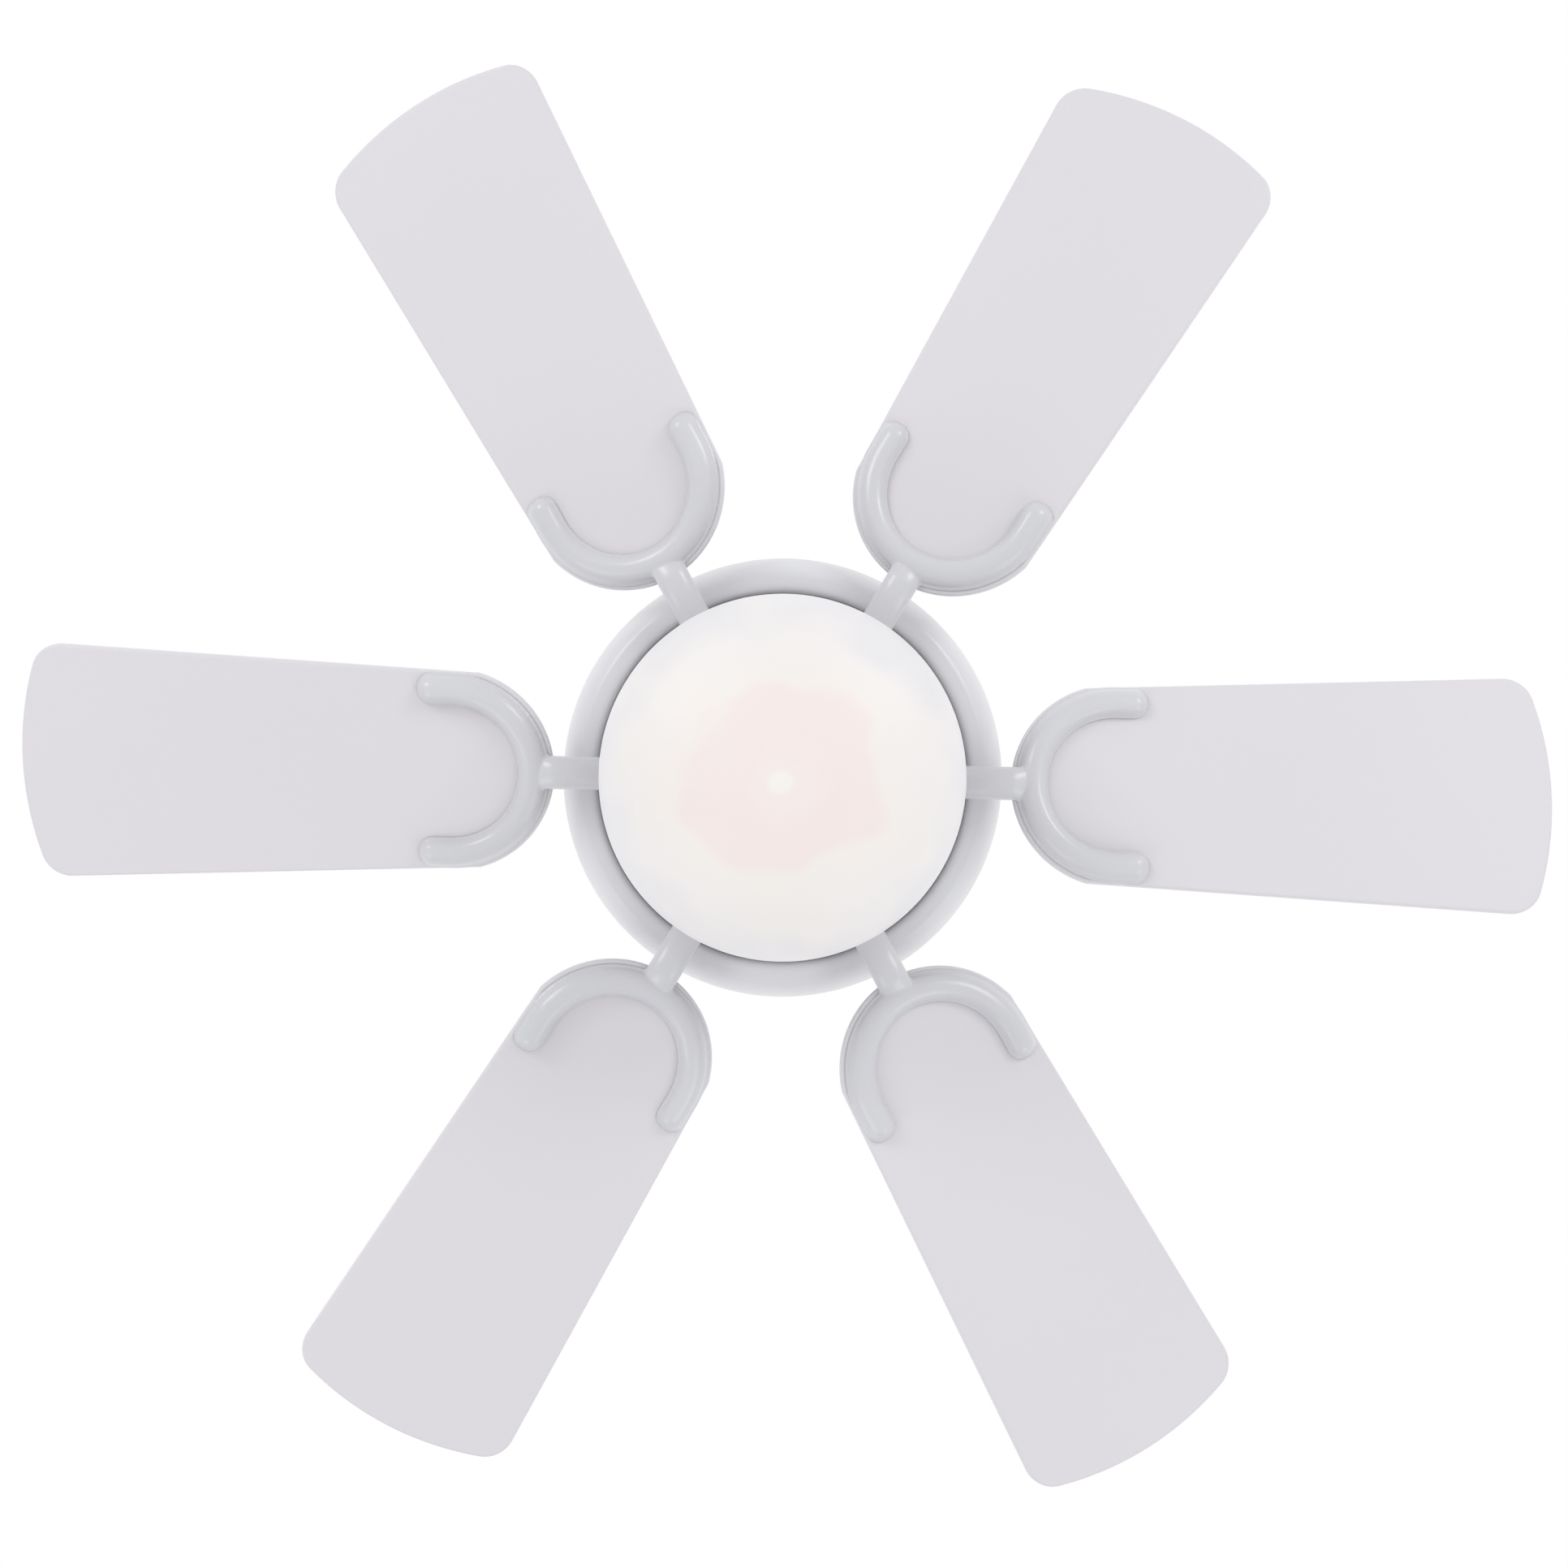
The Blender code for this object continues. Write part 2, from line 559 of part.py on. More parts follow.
def make_coupler(frame):
    """Cast coupler that joins the rod to the motor shaft, with its pin, hairpin, set screws and cover."""
    bore = ROD_RADIUS + GAP
    floor = ROD_BOTTOM - END_PLAY
    flange_low = FLANGE_TOP - FLANGE_THICKNESS
    shaft = SHAFT_RADIUS + GAP
    tail = shaft + COUPLER_TAIL_WALL
    profile = [(COUPLER_RADIUS, COUPLER_TOP), (COUPLER_RADIUS, FLANGE_TOP), (FLANGE_RADIUS, FLANGE_TOP),
               (FLANGE_RADIUS, flange_low), (tail, flange_low), (tail, COUPLER_BOTTOM),
               (shaft, COUPLER_BOTTOM), (shaft, floor), (bore, floor), (bore, COUPLER_TOP)]
    coupler = turned("motor_coupler", profile, SMALL)
    span = 4 * COUPLER_RADIUS
    hole = cylinder("clevis_hole", PIN_RADIUS + GAP, span, (0, 0, CLEVIS_Z), "X", TINY, collection=cutters)
    cut(coupler, hole)
    set_z = COUPLER_TOP - SET_SCREW_DEPTH
    hole = cylinder("set_hole", SET_SCREW_RADIUS + GAP, span, (0, 0, set_z), "Y", TINY, collection=cutters)
    cut(coupler, hole)
    finish(coupler, ZINC)
    pieces = [coupler]
    for index, side in enumerate((-1, 1), 1):
        y = side * (ROD_RADIUS + GAP + SET_SCREW_LENGTH / 2)
        grub = cylinder(f"set_screw_{index}", SET_SCREW_RADIUS, SET_SCREW_LENGTH, (0, y, set_z), "Y", TINY)
        finish(grub, STEEL)
        pieces.append(grub)
    head = PIN_RADIUS * 1.5
    start = COUPLER_RADIUS + GAP
    length = 2 * start + CLEVIS_TAIL
    profile = [(0, CLEVIS_HEAD), (head, CLEVIS_HEAD), (head, 0), (PIN_RADIUS, 0),
               (PIN_RADIUS, -length), (0, -length)]
    clevis = turned("clevis_pin", profile, TINY, closed=False)
    clevis.location = (-start, 0, CLEVIS_Z)
    clevis.rotation_euler = (0, -pi / 2, 0)
    tail = (start + CLEVIS_TAIL / 2, 0, CLEVIS_Z)
    eye = HAIRPIN_WIRE + GAP
    cut(clevis, cylinder("cotter_hole", eye, 6 * PIN_RADIUS, tail, steps=TINY, collection=cutters))
    finish(clevis, STEEL)
    curve = bpy.data.curves.new("cotter_pin", "CURVE")
    curve.dimensions = "3D"
    curve.bevel_depth = HAIRPIN_WIRE
    curve.bevel_resolution = 1
    curve.use_fill_caps = True
    bend = PIN_RADIUS * 0.75
    top = PIN_RADIUS + 2.0 * MM
    loop = arc((bend, top), (bend, bend), pi, 0, 5)
    route = [(0, -top)] + loop + [(2 * bend, -PIN_RADIUS)]
    spline = curve.splines.new("POLY")
    spline.points.add(len(route) - 1)
    for point, (y, z) in zip(spline.points, route):
        point.co = (0, y, z, 1)
    cotter = add("cotter_pin", curve)
    cotter.location = tail
    cotter = frozen(cotter)
    finish(cotter, STEEL)
    low = HOUSING_TOP + GAP
    drop = COVER_TOP - low
    foot = FLANGE_RADIUS + COVER_FOOT
    throat = ROD_RADIUS + ROD_RUNNING_FIT
    shoulder = throat + COVER_THROAT
    profile = [(throat, COVER_TOP), (shoulder - 2 * MM, COVER_TOP - 1 * MM),
               (shoulder + 3 * MM, COVER_TOP - drop / 5), (shoulder + 9 * MM, COVER_TOP - drop * 0.55),
               (foot - 1 * MM, low + drop / 5), (foot, low + drop / 10), (foot, low)]
    cover = turned("coupling_cover", profile, MEDIUM, closed=False, wall=SHEET)
    finish(cover, WHITE_PAINT)
    for piece in pieces + [clevis, cotter, cover]:
        hang(piece, frame)


# ---------------------------------------------------------------- motor

def make_shaft(frame):
    """Hollow shaft: it stands still, carries the stator, and leads the lamp's supply down the middle."""
    top = ROD_BOTTOM - 2 * END_PLAY
    step = PLATE_TOP + GAP
    low = PLATE_TOP - SHAFT_TAIL
    profile = [(SHAFT_RADIUS, top), (SHAFT_RADIUS, step), (SHAFT_END_RADIUS, step),
               (SHAFT_END_RADIUS, low), (SHAFT_BORE, low), (SHAFT_BORE, top)]
    shaft = turned("motor_shaft", profile, SMALL)
    finish(shaft, STEEL)
    hang(shaft, frame)


def slot_side(middle, side):
    """One side of a stator slot, from its bottom out to the mouth in the core's rim."""
    root = STATOR_RADIUS - SLOT_DEPTH
    neck = STATOR_RADIUS - TOOTH_TIP
    steps = ((root, SLOT_ROOT), (neck, SLOT_WIDTH), (neck, SLOT_MOUTH), (STATOR_RADIUS, SLOT_MOUTH))
    return [polar(radius, middle + side * asin(width / 2 / radius)).xy for radius, width in steps]


def make_stator(frame):
    """Laminated stator with open slots, and its windings: two end rings joined by a bar in each slot."""
    pitch = 2 * pi / STATOR_SLOTS
    root = STATOR_RADIUS - SLOT_DEPTH
    neck = STATOR_RADIUS - TOOTH_TIP
    outline = []
    for slot in range(STATOR_SLOTS):
        middle = slot * pitch
        outline += reversed(slot_side(middle, -1))
        outline += slot_side(middle, 1)
        outline.append(polar(STATOR_RADIUS, middle + pitch / 2).xy)
    core = plate("stator_core", outline, STATOR_TOP, STATOR_HEIGHT)
    middle_z = (STATOR_TOP + STATOR_BOTTOM) / 2
    bore = SHAFT_RADIUS + GAP
    cut(core, cylinder("stator_bore", bore, 2 * STATOR_HEIGHT, (0, 0, middle_z), collection=cutters))
    finish(core, LAMINATION)
    inner, outer = root + SLOT_LINER, neck - SLOT_LINER
    ring_in, ring_out = root - 2 * MM, neck + 1 * MM
    high, low = STATOR_TOP + WINDING_OVERHANG, STATOR_BOTTOM - WINDING_OVERHANG
    soft = 3.0 * MM

    def end_ring(name, top, bottom, collection):
        profile = [(ring_in + soft, top), (ring_out - soft, top), (ring_out, top - soft),
                   (ring_out, bottom), (ring_in, bottom), (ring_in, top - soft)]
        return turned(name, profile, MEDIUM, collection=collection)

    windings = end_ring("stator_windings", high, STATOR_TOP + GAP, parts)
    join(windings, end_ring("lower_windings", STATOR_BOTTOM - GAP, low, cutters))
    half = SLOT_ROOT / 2 - SLOT_LINER
    reach = WINDING_OVERHANG / 2
    low_corner = (inner, -half, STATOR_BOTTOM - reach)
    high_corner = (outer, half, STATOR_TOP + reach)
    for slot in range(STATOR_SLOTS):
        coil = block("slot_coil", low_corner, high_corner, cutters)
        coil.rotation_euler.z = slot * pitch
        join(windings, coil)
    finish(windings, COPPER)
    hang(core, frame)
    hang(windings, frame)


def make_bearings(frame):
    """Two ball bearings between the shaft and the rotor's hubs."""
    inner, outer = SHAFT_RADIUS + GAP, BEARING_RADIUS
    ring_in = inner + (outer - inner) / 3
    ring_out = outer - (outer - inner) / 3
    tops = (("bearing_upper", HUB_TOP - BEARING_INSET), ("bearing_lower", BELL_FLOOR_TOP + BEARING_WIDTH))
    for name, top in tops:
        low = top - BEARING_WIDTH
        profile = [(outer, top), (outer, low), (ring_out, low), (ring_out, low + BEARING_STEP),
                   (ring_in, low + BEARING_STEP), (ring_in, low), (inner, low), (inner, top),
                   (ring_in, top), (ring_in, top - BEARING_STEP), (ring_out, top - BEARING_STEP),
                   (ring_out, top)]
        bearing = turned(name, profile, SMALL)
        finish(bearing, STEEL)
        hang(bearing, frame)


def make_rotor(rotor):
    """Cast bells that run on the bearings and clamp the rotor ring; the lower one carries the irons."""
    pocket = BEARING_RADIUS + GAP
    lip = SHAFT_RADIUS + SHAFT_OPENING
    grip = RING_OUTER + GAP
    plate_low = MOTOR_TOP - BELL_SHEET
    soft = 2.0 * MM
    profile = [(pocket, HUB_TOP), (HUB_RADIUS, HUB_TOP), (HUB_RADIUS, MOTOR_TOP),
               (BELL_RADIUS - soft, MOTOR_TOP), (BELL_RADIUS, MOTOR_TOP - soft),
               (BELL_RADIUS, BELL_SPLIT + GAP), (grip, BELL_SPLIT + GAP), (grip, plate_low), (lip, plate_low),
               (lip, MOTOR_TOP - GAP), (pocket, MOTOR_TOP - GAP)]
    upper = turned("rotor_upper_bell", profile, LARGE)
    finish(upper, CAST_ALUMINIUM)
    edge = BELL_RADIUS + FLANGE_OVERHANG
    hub_high = BELL_FLOOR_TOP + BEARING_WIDTH + HUB_COLLAR
    profile = [(grip, BELL_SPLIT - GAP), (BELL_RADIUS, BELL_SPLIT - GAP), (BELL_RADIUS, BELL_FLOOR_TOP),
               (edge, BELL_FLOOR_TOP), (edge, MOTOR_BOTTOM), (lip, MOTOR_BOTTOM),
               (lip, BELL_FLOOR_TOP - GAP), (pocket, BELL_FLOOR_TOP - GAP), (pocket, hub_high),
               (HUB_RADIUS, hub_high), (HUB_RADIUS, BELL_FLOOR_TOP), (grip, BELL_FLOOR_TOP)]
    lower = turned("rotor_lower_bell", profile, LARGE)
    finish(lower, CAST_ALUMINIUM)
    high = BELL_SPLIT + ROTOR_RING_HEIGHT / 2
    low = BELL_SPLIT - ROTOR_RING_HEIGHT / 2
    profile = [(RING_OUTER, high), (RING_OUTER, low), (RING_INNER, low), (RING_INNER, high)]
    ring = turned("rotor_ring", profile, LARGE)
    finish(ring, LAMINATION)
    for piece in (upper, lower, ring):
        hang(piece, rotor)


# ---------------------------------------------------------------- motor housing

def make_housing(frame):
    """Pressed housing in two shells: the top rests on the coupler's flange, the body hangs from it."""
    rim = HOUSING_RADIUS - HOUSING_STEP
    hole = COUPLER_RADIUS + HOUSING_STEP
    overlap = SEAM_Z + HOUSING_OVERLAP
    crown = arc((HOUSING_CROWN, overlap), (rim - HOUSING_CROWN, HOUSING_TOP - overlap), pi / 2, 0, 5)
    profile = [(hole, HOUSING_TOP)] + crown + [(rim, SEAM_Z)]
    top = turned("housing_top", profile, LARGE, closed=False, wall=SHEET)
    inset = rim - SHEET - GAP
    collar = SEAM_Z - GAP
    step = HOUSING_RADIUS - inset - SHEET
    belly_z = SEAM_Z - HOUSING_BELLY * (SEAM_Z - LIP_Z)
    belly = arc((LIP_RADIUS, belly_z), (HOUSING_RADIUS - LIP_RADIUS, belly_z - LIP_Z), 0, -pi / 2, 5)
    roll = arc((LIP_RADIUS, LIP_Z + LIP_RETURN), (LIP_ROLL, LIP_RETURN), -pi / 2, -pi, 3)[1:]
    profile = [(inset, overlap - 1 * MM), (inset, collar), (rim, collar - step)] + belly + roll
    body = turned("housing_body", profile, LARGE, closed=False, wall=SHEET)
    for index in range(HOUSING_SCREWS):
        angle = FIRST_BLADE + pi / BLADES + index * 2 * pi / HOUSING_SCREWS
        z = SEAM_Z + HOUSING_OVERLAP / 2
        cut(top, screw_hole("top_hole", rim, angle, z))
        cut(body, screw_hole("body_hole", rim, angle, z))
        screw = round_screw(f"housing_screw_{index + 1}", rim, angle, z, SIDE_SCREW_LENGTH)
        finish(screw, WHITE_PAINT)
        hang(screw, frame)
    finish(top, WHITE_PAINT)
    finish(body, WHITE_PAINT)
    hang(top, frame)
    hang(body, frame)


# ---------------------------------------------------------------- blades and irons

def blade_outline():
    """Root arc, tapering sides, round corners and a shallow tip arc, mirrored across the centreline."""
    middle = BLADE_ROOT + BLADE_ROOT_ARC
    shoulder = sqrt(BLADE_ROOT_ARC ** 2 - (middle - BLADE_SHOULDER) ** 2)
    start = Vector((BLADE_SHOULDER, shoulder))
    side = Vector((cos(BLADE_TAPER), sin(BLADE_TAPER)))
    inward = Vector((sin(BLADE_TAPER), -cos(BLADE_TAPER)))
    hub = Vector((BLADE_TIP - BLADE_TIP_ARC, 0))
    offset = start + BLADE_CORNER * inward - hub
    along = offset.dot(side)
    reach = sqrt(along ** 2 - offset.length_squared + (BLADE_TIP_ARC - BLADE_CORNER) ** 2) - along
    corner = start + BLADE_CORNER * inward + reach * side
    towards = corner - hub
    tip_angle = atan2(towards.y, towards.x)
    root = arc((middle, 0), (BLADE_ROOT_ARC,) * 2, pi, pi - atan2(shoulder, middle - BLADE_SHOULDER), 7)
    bend = arc(corner, (BLADE_CORNER,) * 2, pi / 2 + BLADE_TAPER, tip_angle, 3)
    tip = arc(hub, (BLADE_TIP_ARC,) * 2, tip_angle, 0, 3)[1:]
    upper = root + bend + tip
    lower = [(u, -v) for u, v in reversed(upper[1:-1])]
    return upper + lower


def iron_path():
    """Centreline of the iron's C: an arc concentric with the blade's root, ending in short straight arms."""
    middle = BLADE_ROOT + BLADE_ROOT_ARC
    radius = BLADE_ROOT_ARC - IRON_MARGIN - IRON_BAR_WIDTH / 2
    curve = arc((middle, 0), (radius, radius), pi / 2, 3 * pi / 2, 10)
    return [(middle + IRON_ARM, radius)] + curve + [(middle + IRON_ARM, -radius)]


def bar(name, path, width, height, collection):
    """A bar of half-round section along a path of (x, y, z) points, its flat side up."""
    section = bpy.data.curves.new(f"{name}_section", "CURVE")
    section.dimensions = "2D"
    spline = section.splines.new("POLY")
    rim = arc((0, 0), (width / 2, -height), 0, pi, 4)
    spline.points.add(len(rim) - 1)
    spline.use_cyclic_u = True
    for point, (x, y) in zip(spline.points, rim):
        point.co = (x, y, 0, 1)
    guide = add(f"{name}_section", section, cutters)
    curve = bpy.data.curves.new(name, "CURVE")
    curve.dimensions = "3D"
    curve.twist_mode = "Z_UP"
    curve.bevel_mode = "OBJECT"
    curve.bevel_object = guide
    curve.use_fill_caps = True
    spline = curve.splines.new("POLY")
    spline.points.add(len(path) - 1)
    for point, place in zip(spline.points, path):
        point.co = (*place, 1)
    solid = frozen(add(name, curve, collection), collection)
    bpy.data.objects.remove(guide)
    return solid


def iron_holder():
    """The iron's C with its rounded ends, under a level blade along +X whose mid plane is Z = 0."""
    underside = -(BLADE_THICKNESS / 2 + GAP)
    path = iron_path()
    holder = bar("iron_holder", [(x, y, underside) for x, y in path], IRON_BAR_WIDTH, IRON_BAR_HEIGHT, parts)
    size = (IRON_BAR_WIDTH / 2 * JOIN_SHRINK, IRON_BAR_HEIGHT * JOIN_SHRINK)
    dome = [(0, 0)] + arc((0, 0), size, 0, -pi / 2, 2)
    for x, y in (path[0], path[-1]):
        tip = turned("arm_tip", dome, 12, closed=False, collection=cutters)
        tip.location = (x, y, underside - MERGE)
        join(holder, tip)
    return holder


def iron_stem():
    """The stem that drops from the foot to the middle of the pitched C, in the frame of a level blade."""
    throat = BLADE_ROOT + IRON_MARGIN + IRON_BAR_WIDTH / 2
    low_edge = STEM_WIDTH / 2 * tan(BLADE_PITCH)
    landing = -(BLADE_THICKNESS / 2 + GAP) / cos(BLADE_PITCH) - low_edge - GAP
    high = BLADE_DROP - GAP
    path = [(BELL_RADIUS - FOOT_ROOTING, 0, high - STEM_BEND / 4),
            (BELL_RADIUS + STEM_BEND, 0, high - STEM_BEND * 3 / 4),
            (throat - STEM_DROP, 0, landing + STEM_BEND), (throat - STEM_DROP / 2, 0, landing),
            (throat, 0, landing)]
    return bar("iron_stem", path, STEM_WIDTH, STEM_HEIGHT, cutters)


def iron_foot():
    """The flat foot with round corners that is screwed under the rotor."""
    half = FOOT_WIDTH / 2 - FOOT_CORNER
    outer = BELL_RADIUS - FOOT_CORNER
    inner = BELL_RADIUS - FOOT_LENGTH + FOOT_CORNER
    outline = []
    for quarter, centre in enumerate(((outer, half), (outer, -half), (inner, -half), (inner, half))):
        start = pi / 2 - quarter * pi / 2
        outline += arc(centre, (FOOT_CORNER, FOOT_CORNER), start, start - pi / 2, 2)
    return plate("iron_foot", outline, BLADE_DROP - GAP, FOOT_THICKNESS, cutters)


def make_irons(rotor):
    """Cast irons: a foot on the rotor's lower face, a dropped stem, and the C that carries the blade."""
    holder = iron_holder()
    bpy.context.view_layer.update()
    pitch = Matrix.Rotation(-BLADE_PITCH, 4, "X")
    holder.rotation_euler.x = -BLADE_PITCH
    tools = [step.object for step in holder.modifiers]
    for tip in tools:
        tip.matrix_world = pitch @ Matrix.Translation(tip.location)
    tools += [iron_stem(), iron_foot()]
    for tool in tools[-2:]:
        join(holder, tool)
    solid = frozen(holder)
    shape = solid.data
    shape.transform(solid.matrix_world)
    shape.shade_smooth()
    shape.set_sharp_from_angle(angle=radians(40))
    for tool in tools:
        bpy.data.objects.remove(tool)
    bpy.data.objects.remove(solid)
    for index in range(BLADES):
        iron = add(f"blade_iron_{index + 1}", shape.copy())
        iron.location.z = BLADE_Z
        iron.rotation_euler.z = FIRST_BLADE + index * 2 * pi / BLADES
        finish(iron, WHITE_PAINT)
        hang(iron, rotor)


def make_blades(rotor):
    """Six flat blades, pitched about their own centrelines, each with three holes over its iron."""
    blank = plate("blade_blank", blade_outline(), BLADE_THICKNESS / 2, BLADE_THICKNESS)
    path = iron_path()
    middle = path[len(path) // 2]
    spots = (path[1], middle, path[-2])
    deep = 4 * BLADE_THICKNESS
    for x, y in spots:
        drill = cylinder("blade_hole", BLADE_SCREW_HOLE, deep, (x, y, 0), steps=TINY, collection=cutters)
        drill.rotation_euler.z = pi / TINY
        cut(blank, drill)
    solid = frozen(blank)
    shape = solid.data
    bpy.data.objects.remove(solid)
    for index in range(BLADES):
        blade = add(f"blade_{index + 1}", shape.copy())
        blade.location.z = BLADE_Z
        blade.rotation_euler = (-BLADE_PITCH, 0, FIRST_BLADE + index * 2 * pi / BLADES)
        finish(blade, BARE_BLADE)
        hang(blade, rotor)


# ---------------------------------------------------------------- switch housing

def make_switch_housing(frame):
    """Plate on the shaft's end, the cup screwed to its rim, and what the cup holds."""
    hole = SHAFT_END_RADIUS + GAP
    low = PLATE_TOP - PLATE_SHEET
    inner = PLATE_RADIUS - PLATE_SHEET
    rim = PLATE_TOP - PLATE_RIM
    profile = [(PLATE_RADIUS, PLATE_TOP), (PLATE_RADIUS, rim), (inner, rim),
               (inner, low), (hole, low), (hole, PLATE_TOP)]
    mount = turned("switch_plate", profile, LARGE)
    profile = [(SWITCH_RADIUS, SWITCH_TOP), (SWITCH_RADIUS, SWITCH_BOTTOM + SWITCH_CHAMFER),
               (SWITCH_RADIUS - SWITCH_CHAMFER, SWITCH_BOTTOM), (NIPPLE_RADIUS + GAP, SWITCH_BOTTOM)]
    cup = turned("switch_housing", profile, LARGE, closed=False, wall=SHEET)
    z = PLATE_TOP - SIDE_SCREW_DEPTH
    screws = []
    for index in range(SWITCH_SCREWS):
        angle = -pi / 2 + index * 2 * pi / SWITCH_SCREWS
        cut(mount, screw_hole("plate_hole", PLATE_RADIUS, angle, z))
        cut(cup, screw_hole("cup_hole", SWITCH_RADIUS, angle, z))
        name = f"switch_housing_screw_{index + 1}"
        screws.append(round_screw(name, SWITCH_RADIUS, angle, z, SIDE_SCREW_LENGTH))
        finish(screws[-1], WHITE_PAINT)
    half = (SLIDER_WIDTH + SLIDER_TRAVEL) / 2 + 2 * GAP
    tall = SLIDER_HEIGHT / 2 + 2 * GAP
    low_corner = (-half, SWITCH_RADIUS - 4 * SHEET, SLIDER_Z - tall)
    cut(cup, block("slider_slot", low_corner, (half, SWITCH_RADIUS + 4 * SHEET, SLIDER_Z + tall), cutters))
    finish(mount, ZINC)
    finish(cup, WHITE_PAINT)
    nut_low = low - GAP - NUT_HEIGHT
    bore = (hole + GAP) / cos(pi / 6)
    hexagon = [(bore + NUT_WALL, low - GAP), (bore + NUT_WALL, nut_low), (bore, nut_low), (bore, low - GAP)]
    nut = turned("shaft_lock_nut", hexagon, 6)
    finish(nut, STEEL)
    top = SWITCH_BOTTOM + SHEET + GAP + CAPACITOR.z
    centre = Vector((0, -CAPACITOR_OFFSET, top - CAPACITOR.z / 2))
    capacitor = block("run_capacitor", centre - CAPACITOR / 2, centre + CAPACITOR / 2)
    rounded(capacitor, 2 * MM, 2)
    finish(capacitor, BLACK_PLASTIC)
    front = SWITCH_RADIUS - SHEET - SWITCH_BODY_FRONT
    centre = Vector((0, front - SWITCH_BODY.y / 2, SLIDER_Z))
    body = block("reversing_switch", centre - SWITCH_BODY / 2, centre + SWITCH_BODY / 2)
    rounded(body, 1 * MM)
    finish(body, BLACK_PLASTIC)
    for piece in [mount, cup, nut, capacitor, body] + screws:
        hang(piece, frame)
    return front


def make_slider(front, frame):
    """The reversing switch's slider: a base inside the wall and a knob through the wall's slot."""
    rest = -SLIDER_TRAVEL / 2
    base = (SLIDER_WIDTH / 2 + SLIDER_FLANGE, SLIDER_HEIGHT / 2 + SLIDER_FLANGE)
    knob = (SLIDER_WIDTH / 2, SLIDER_HEIGHT / 2)
    back = front + GAP
    reach = SWITCH_RADIUS + SLIDER_PROUD - back
    slider = block("reversing_slider", (-base[0], 0, -base[1]), (base[0], SLIDER_BASE, base[1]))
    low_corner = (-knob[0], SLIDER_BASE / 2, -knob[1])
    tool = block("slider_knob", low_corner, (knob[0], reach, knob[1]), cutters)
    join(slider, tool)
    place = Vector((rest, back, SLIDER_Z))
    tool.location = place
    slider.location = place
    finish(slider, IVORY_PLASTIC)
    hang(slider, frame)


# ---------------------------------------------------------------- light

def ring_sector(name, inner, outer, top, thickness, middle, half):
    """A flat piece of a ring, for a bayonet lug or ledge."""
    outside = arc((0, 0), (outer, outer), middle - half, middle + half, 4)
    inside = arc((0, 0), (inner, inner), middle + half, middle - half, 4)
    return plate(name, outside + inside, top, thickness, cutters)


def make_fitter(frame):
    """Nipple and nut, the fitter pan with its bayonet ledges, and the lamp holder that clamps it."""
    low = HOLDER_TOP - HOLDER_CAP + 1.0 * MM
    high = SWITCH_BOTTOM + SHEET + NIPPLE_NUT_HEIGHT + 2.0 * MM
    profile = [(NIPPLE_RADIUS, high), (NIPPLE_RADIUS, low), (NIPPLE_BORE, low), (NIPPLE_BORE, high)]
    nipple = turned("threaded_nipple", profile, TINY)
    finish(nipple, ZINC)
    nut_low = SWITCH_BOTTOM + SHEET + GAP
    nut_high = nut_low + NIPPLE_NUT_HEIGHT
    bore = (NIPPLE_RADIUS + 2 * GAP) / cos(pi / 6)
    outer = bore + 3 * MM
    profile = [(outer, nut_high), (outer, nut_low), (bore, nut_low), (bore, nut_high)]
    nut = turned("nipple_nut", profile, 6)
    finish(nut, ZINC)
    profile = [(NIPPLE_RADIUS + GAP, FITTER_TOP), (FITTER_RADIUS - FITTER_SHOULDER, FITTER_TOP),
               (FITTER_RADIUS - 1 * MM, FITTER_TOP - 2 * MM), (FITTER_RADIUS, FITTER_TOP - FITTER_SHOULDER),
               (FITTER_RADIUS, FITTER_BOTTOM)]
    pan = turned("light_fitter", profile, LARGE, closed=False, wall=SHEET)
    for index in range(LUGS):
        middle = pi / 2 + index * 2 * pi / LUGS
        ledge = ring_sector("ledge", NECK_RADIUS + TWIST_CLEARANCE, FITTER_RADIUS - SHEET / 2,
                            LUG_BOTTOM - GAP, LEDGE_THICKNESS, middle, LEDGE_HALF_ANGLE)
        join(pan, ledge)
    finish(pan, WHITE_PAINT)
    bore = LAMP_BASE_RADIUS + GAP
    wall = bore + HOLDER_WALL
    cap = HOLDER_TOP - HOLDER_CAP
    hole = NIPPLE_RADIUS + GAP
    profile = [(wall - 2 * MM, HOLDER_TOP), (wall, HOLDER_TOP - 2 * MM), (wall, HOLDER_BOTTOM),
               (bore, HOLDER_BOTTOM), (bore, cap), (hole, cap), (hole, HOLDER_TOP)]
    holder = turned("lamp_holder", profile, SMALL)
    finish(holder, PORCELAIN)
    for piece in (nipple, nut, pan, holder):
        hang(piece, frame)


def make_bulb(frame):
    """Small globe lamp: a screw base, and a thin bulb whose neck is open inside the base's rim."""
    radius = LAMP_BASE_RADIUS
    contact = radius / 3
    profile = [(0, LAMP_TOP), (contact, LAMP_TOP), (radius - 1.5 * MM, LAMP_TOP - 3 * MM),
               (radius, LAMP_TOP - 5 * MM), (radius, LAMP_NECK), (0, LAMP_NECK)]
    base = turned("bulb_base", profile, SMALL, closed=False)
    finish(base, BRASS)
    start = LAMP_NECK - GAP
    top = acos(BULB_NECK / BULB_RADIUS)
    centre = start - BULB_RADIUS * sin(top) - 1 * MM
    globe = arc((0, centre), (BULB_RADIUS, BULB_RADIUS), top, -pi / 2, 5)
    bulb = turned("bulb_globe", [(BULB_NECK, start)] + globe, SMALL, closed=False, wall=BULB_WALL)
    finish(bulb, OPAL_GLASS)
    hang(base, frame)
    hang(bulb, frame)


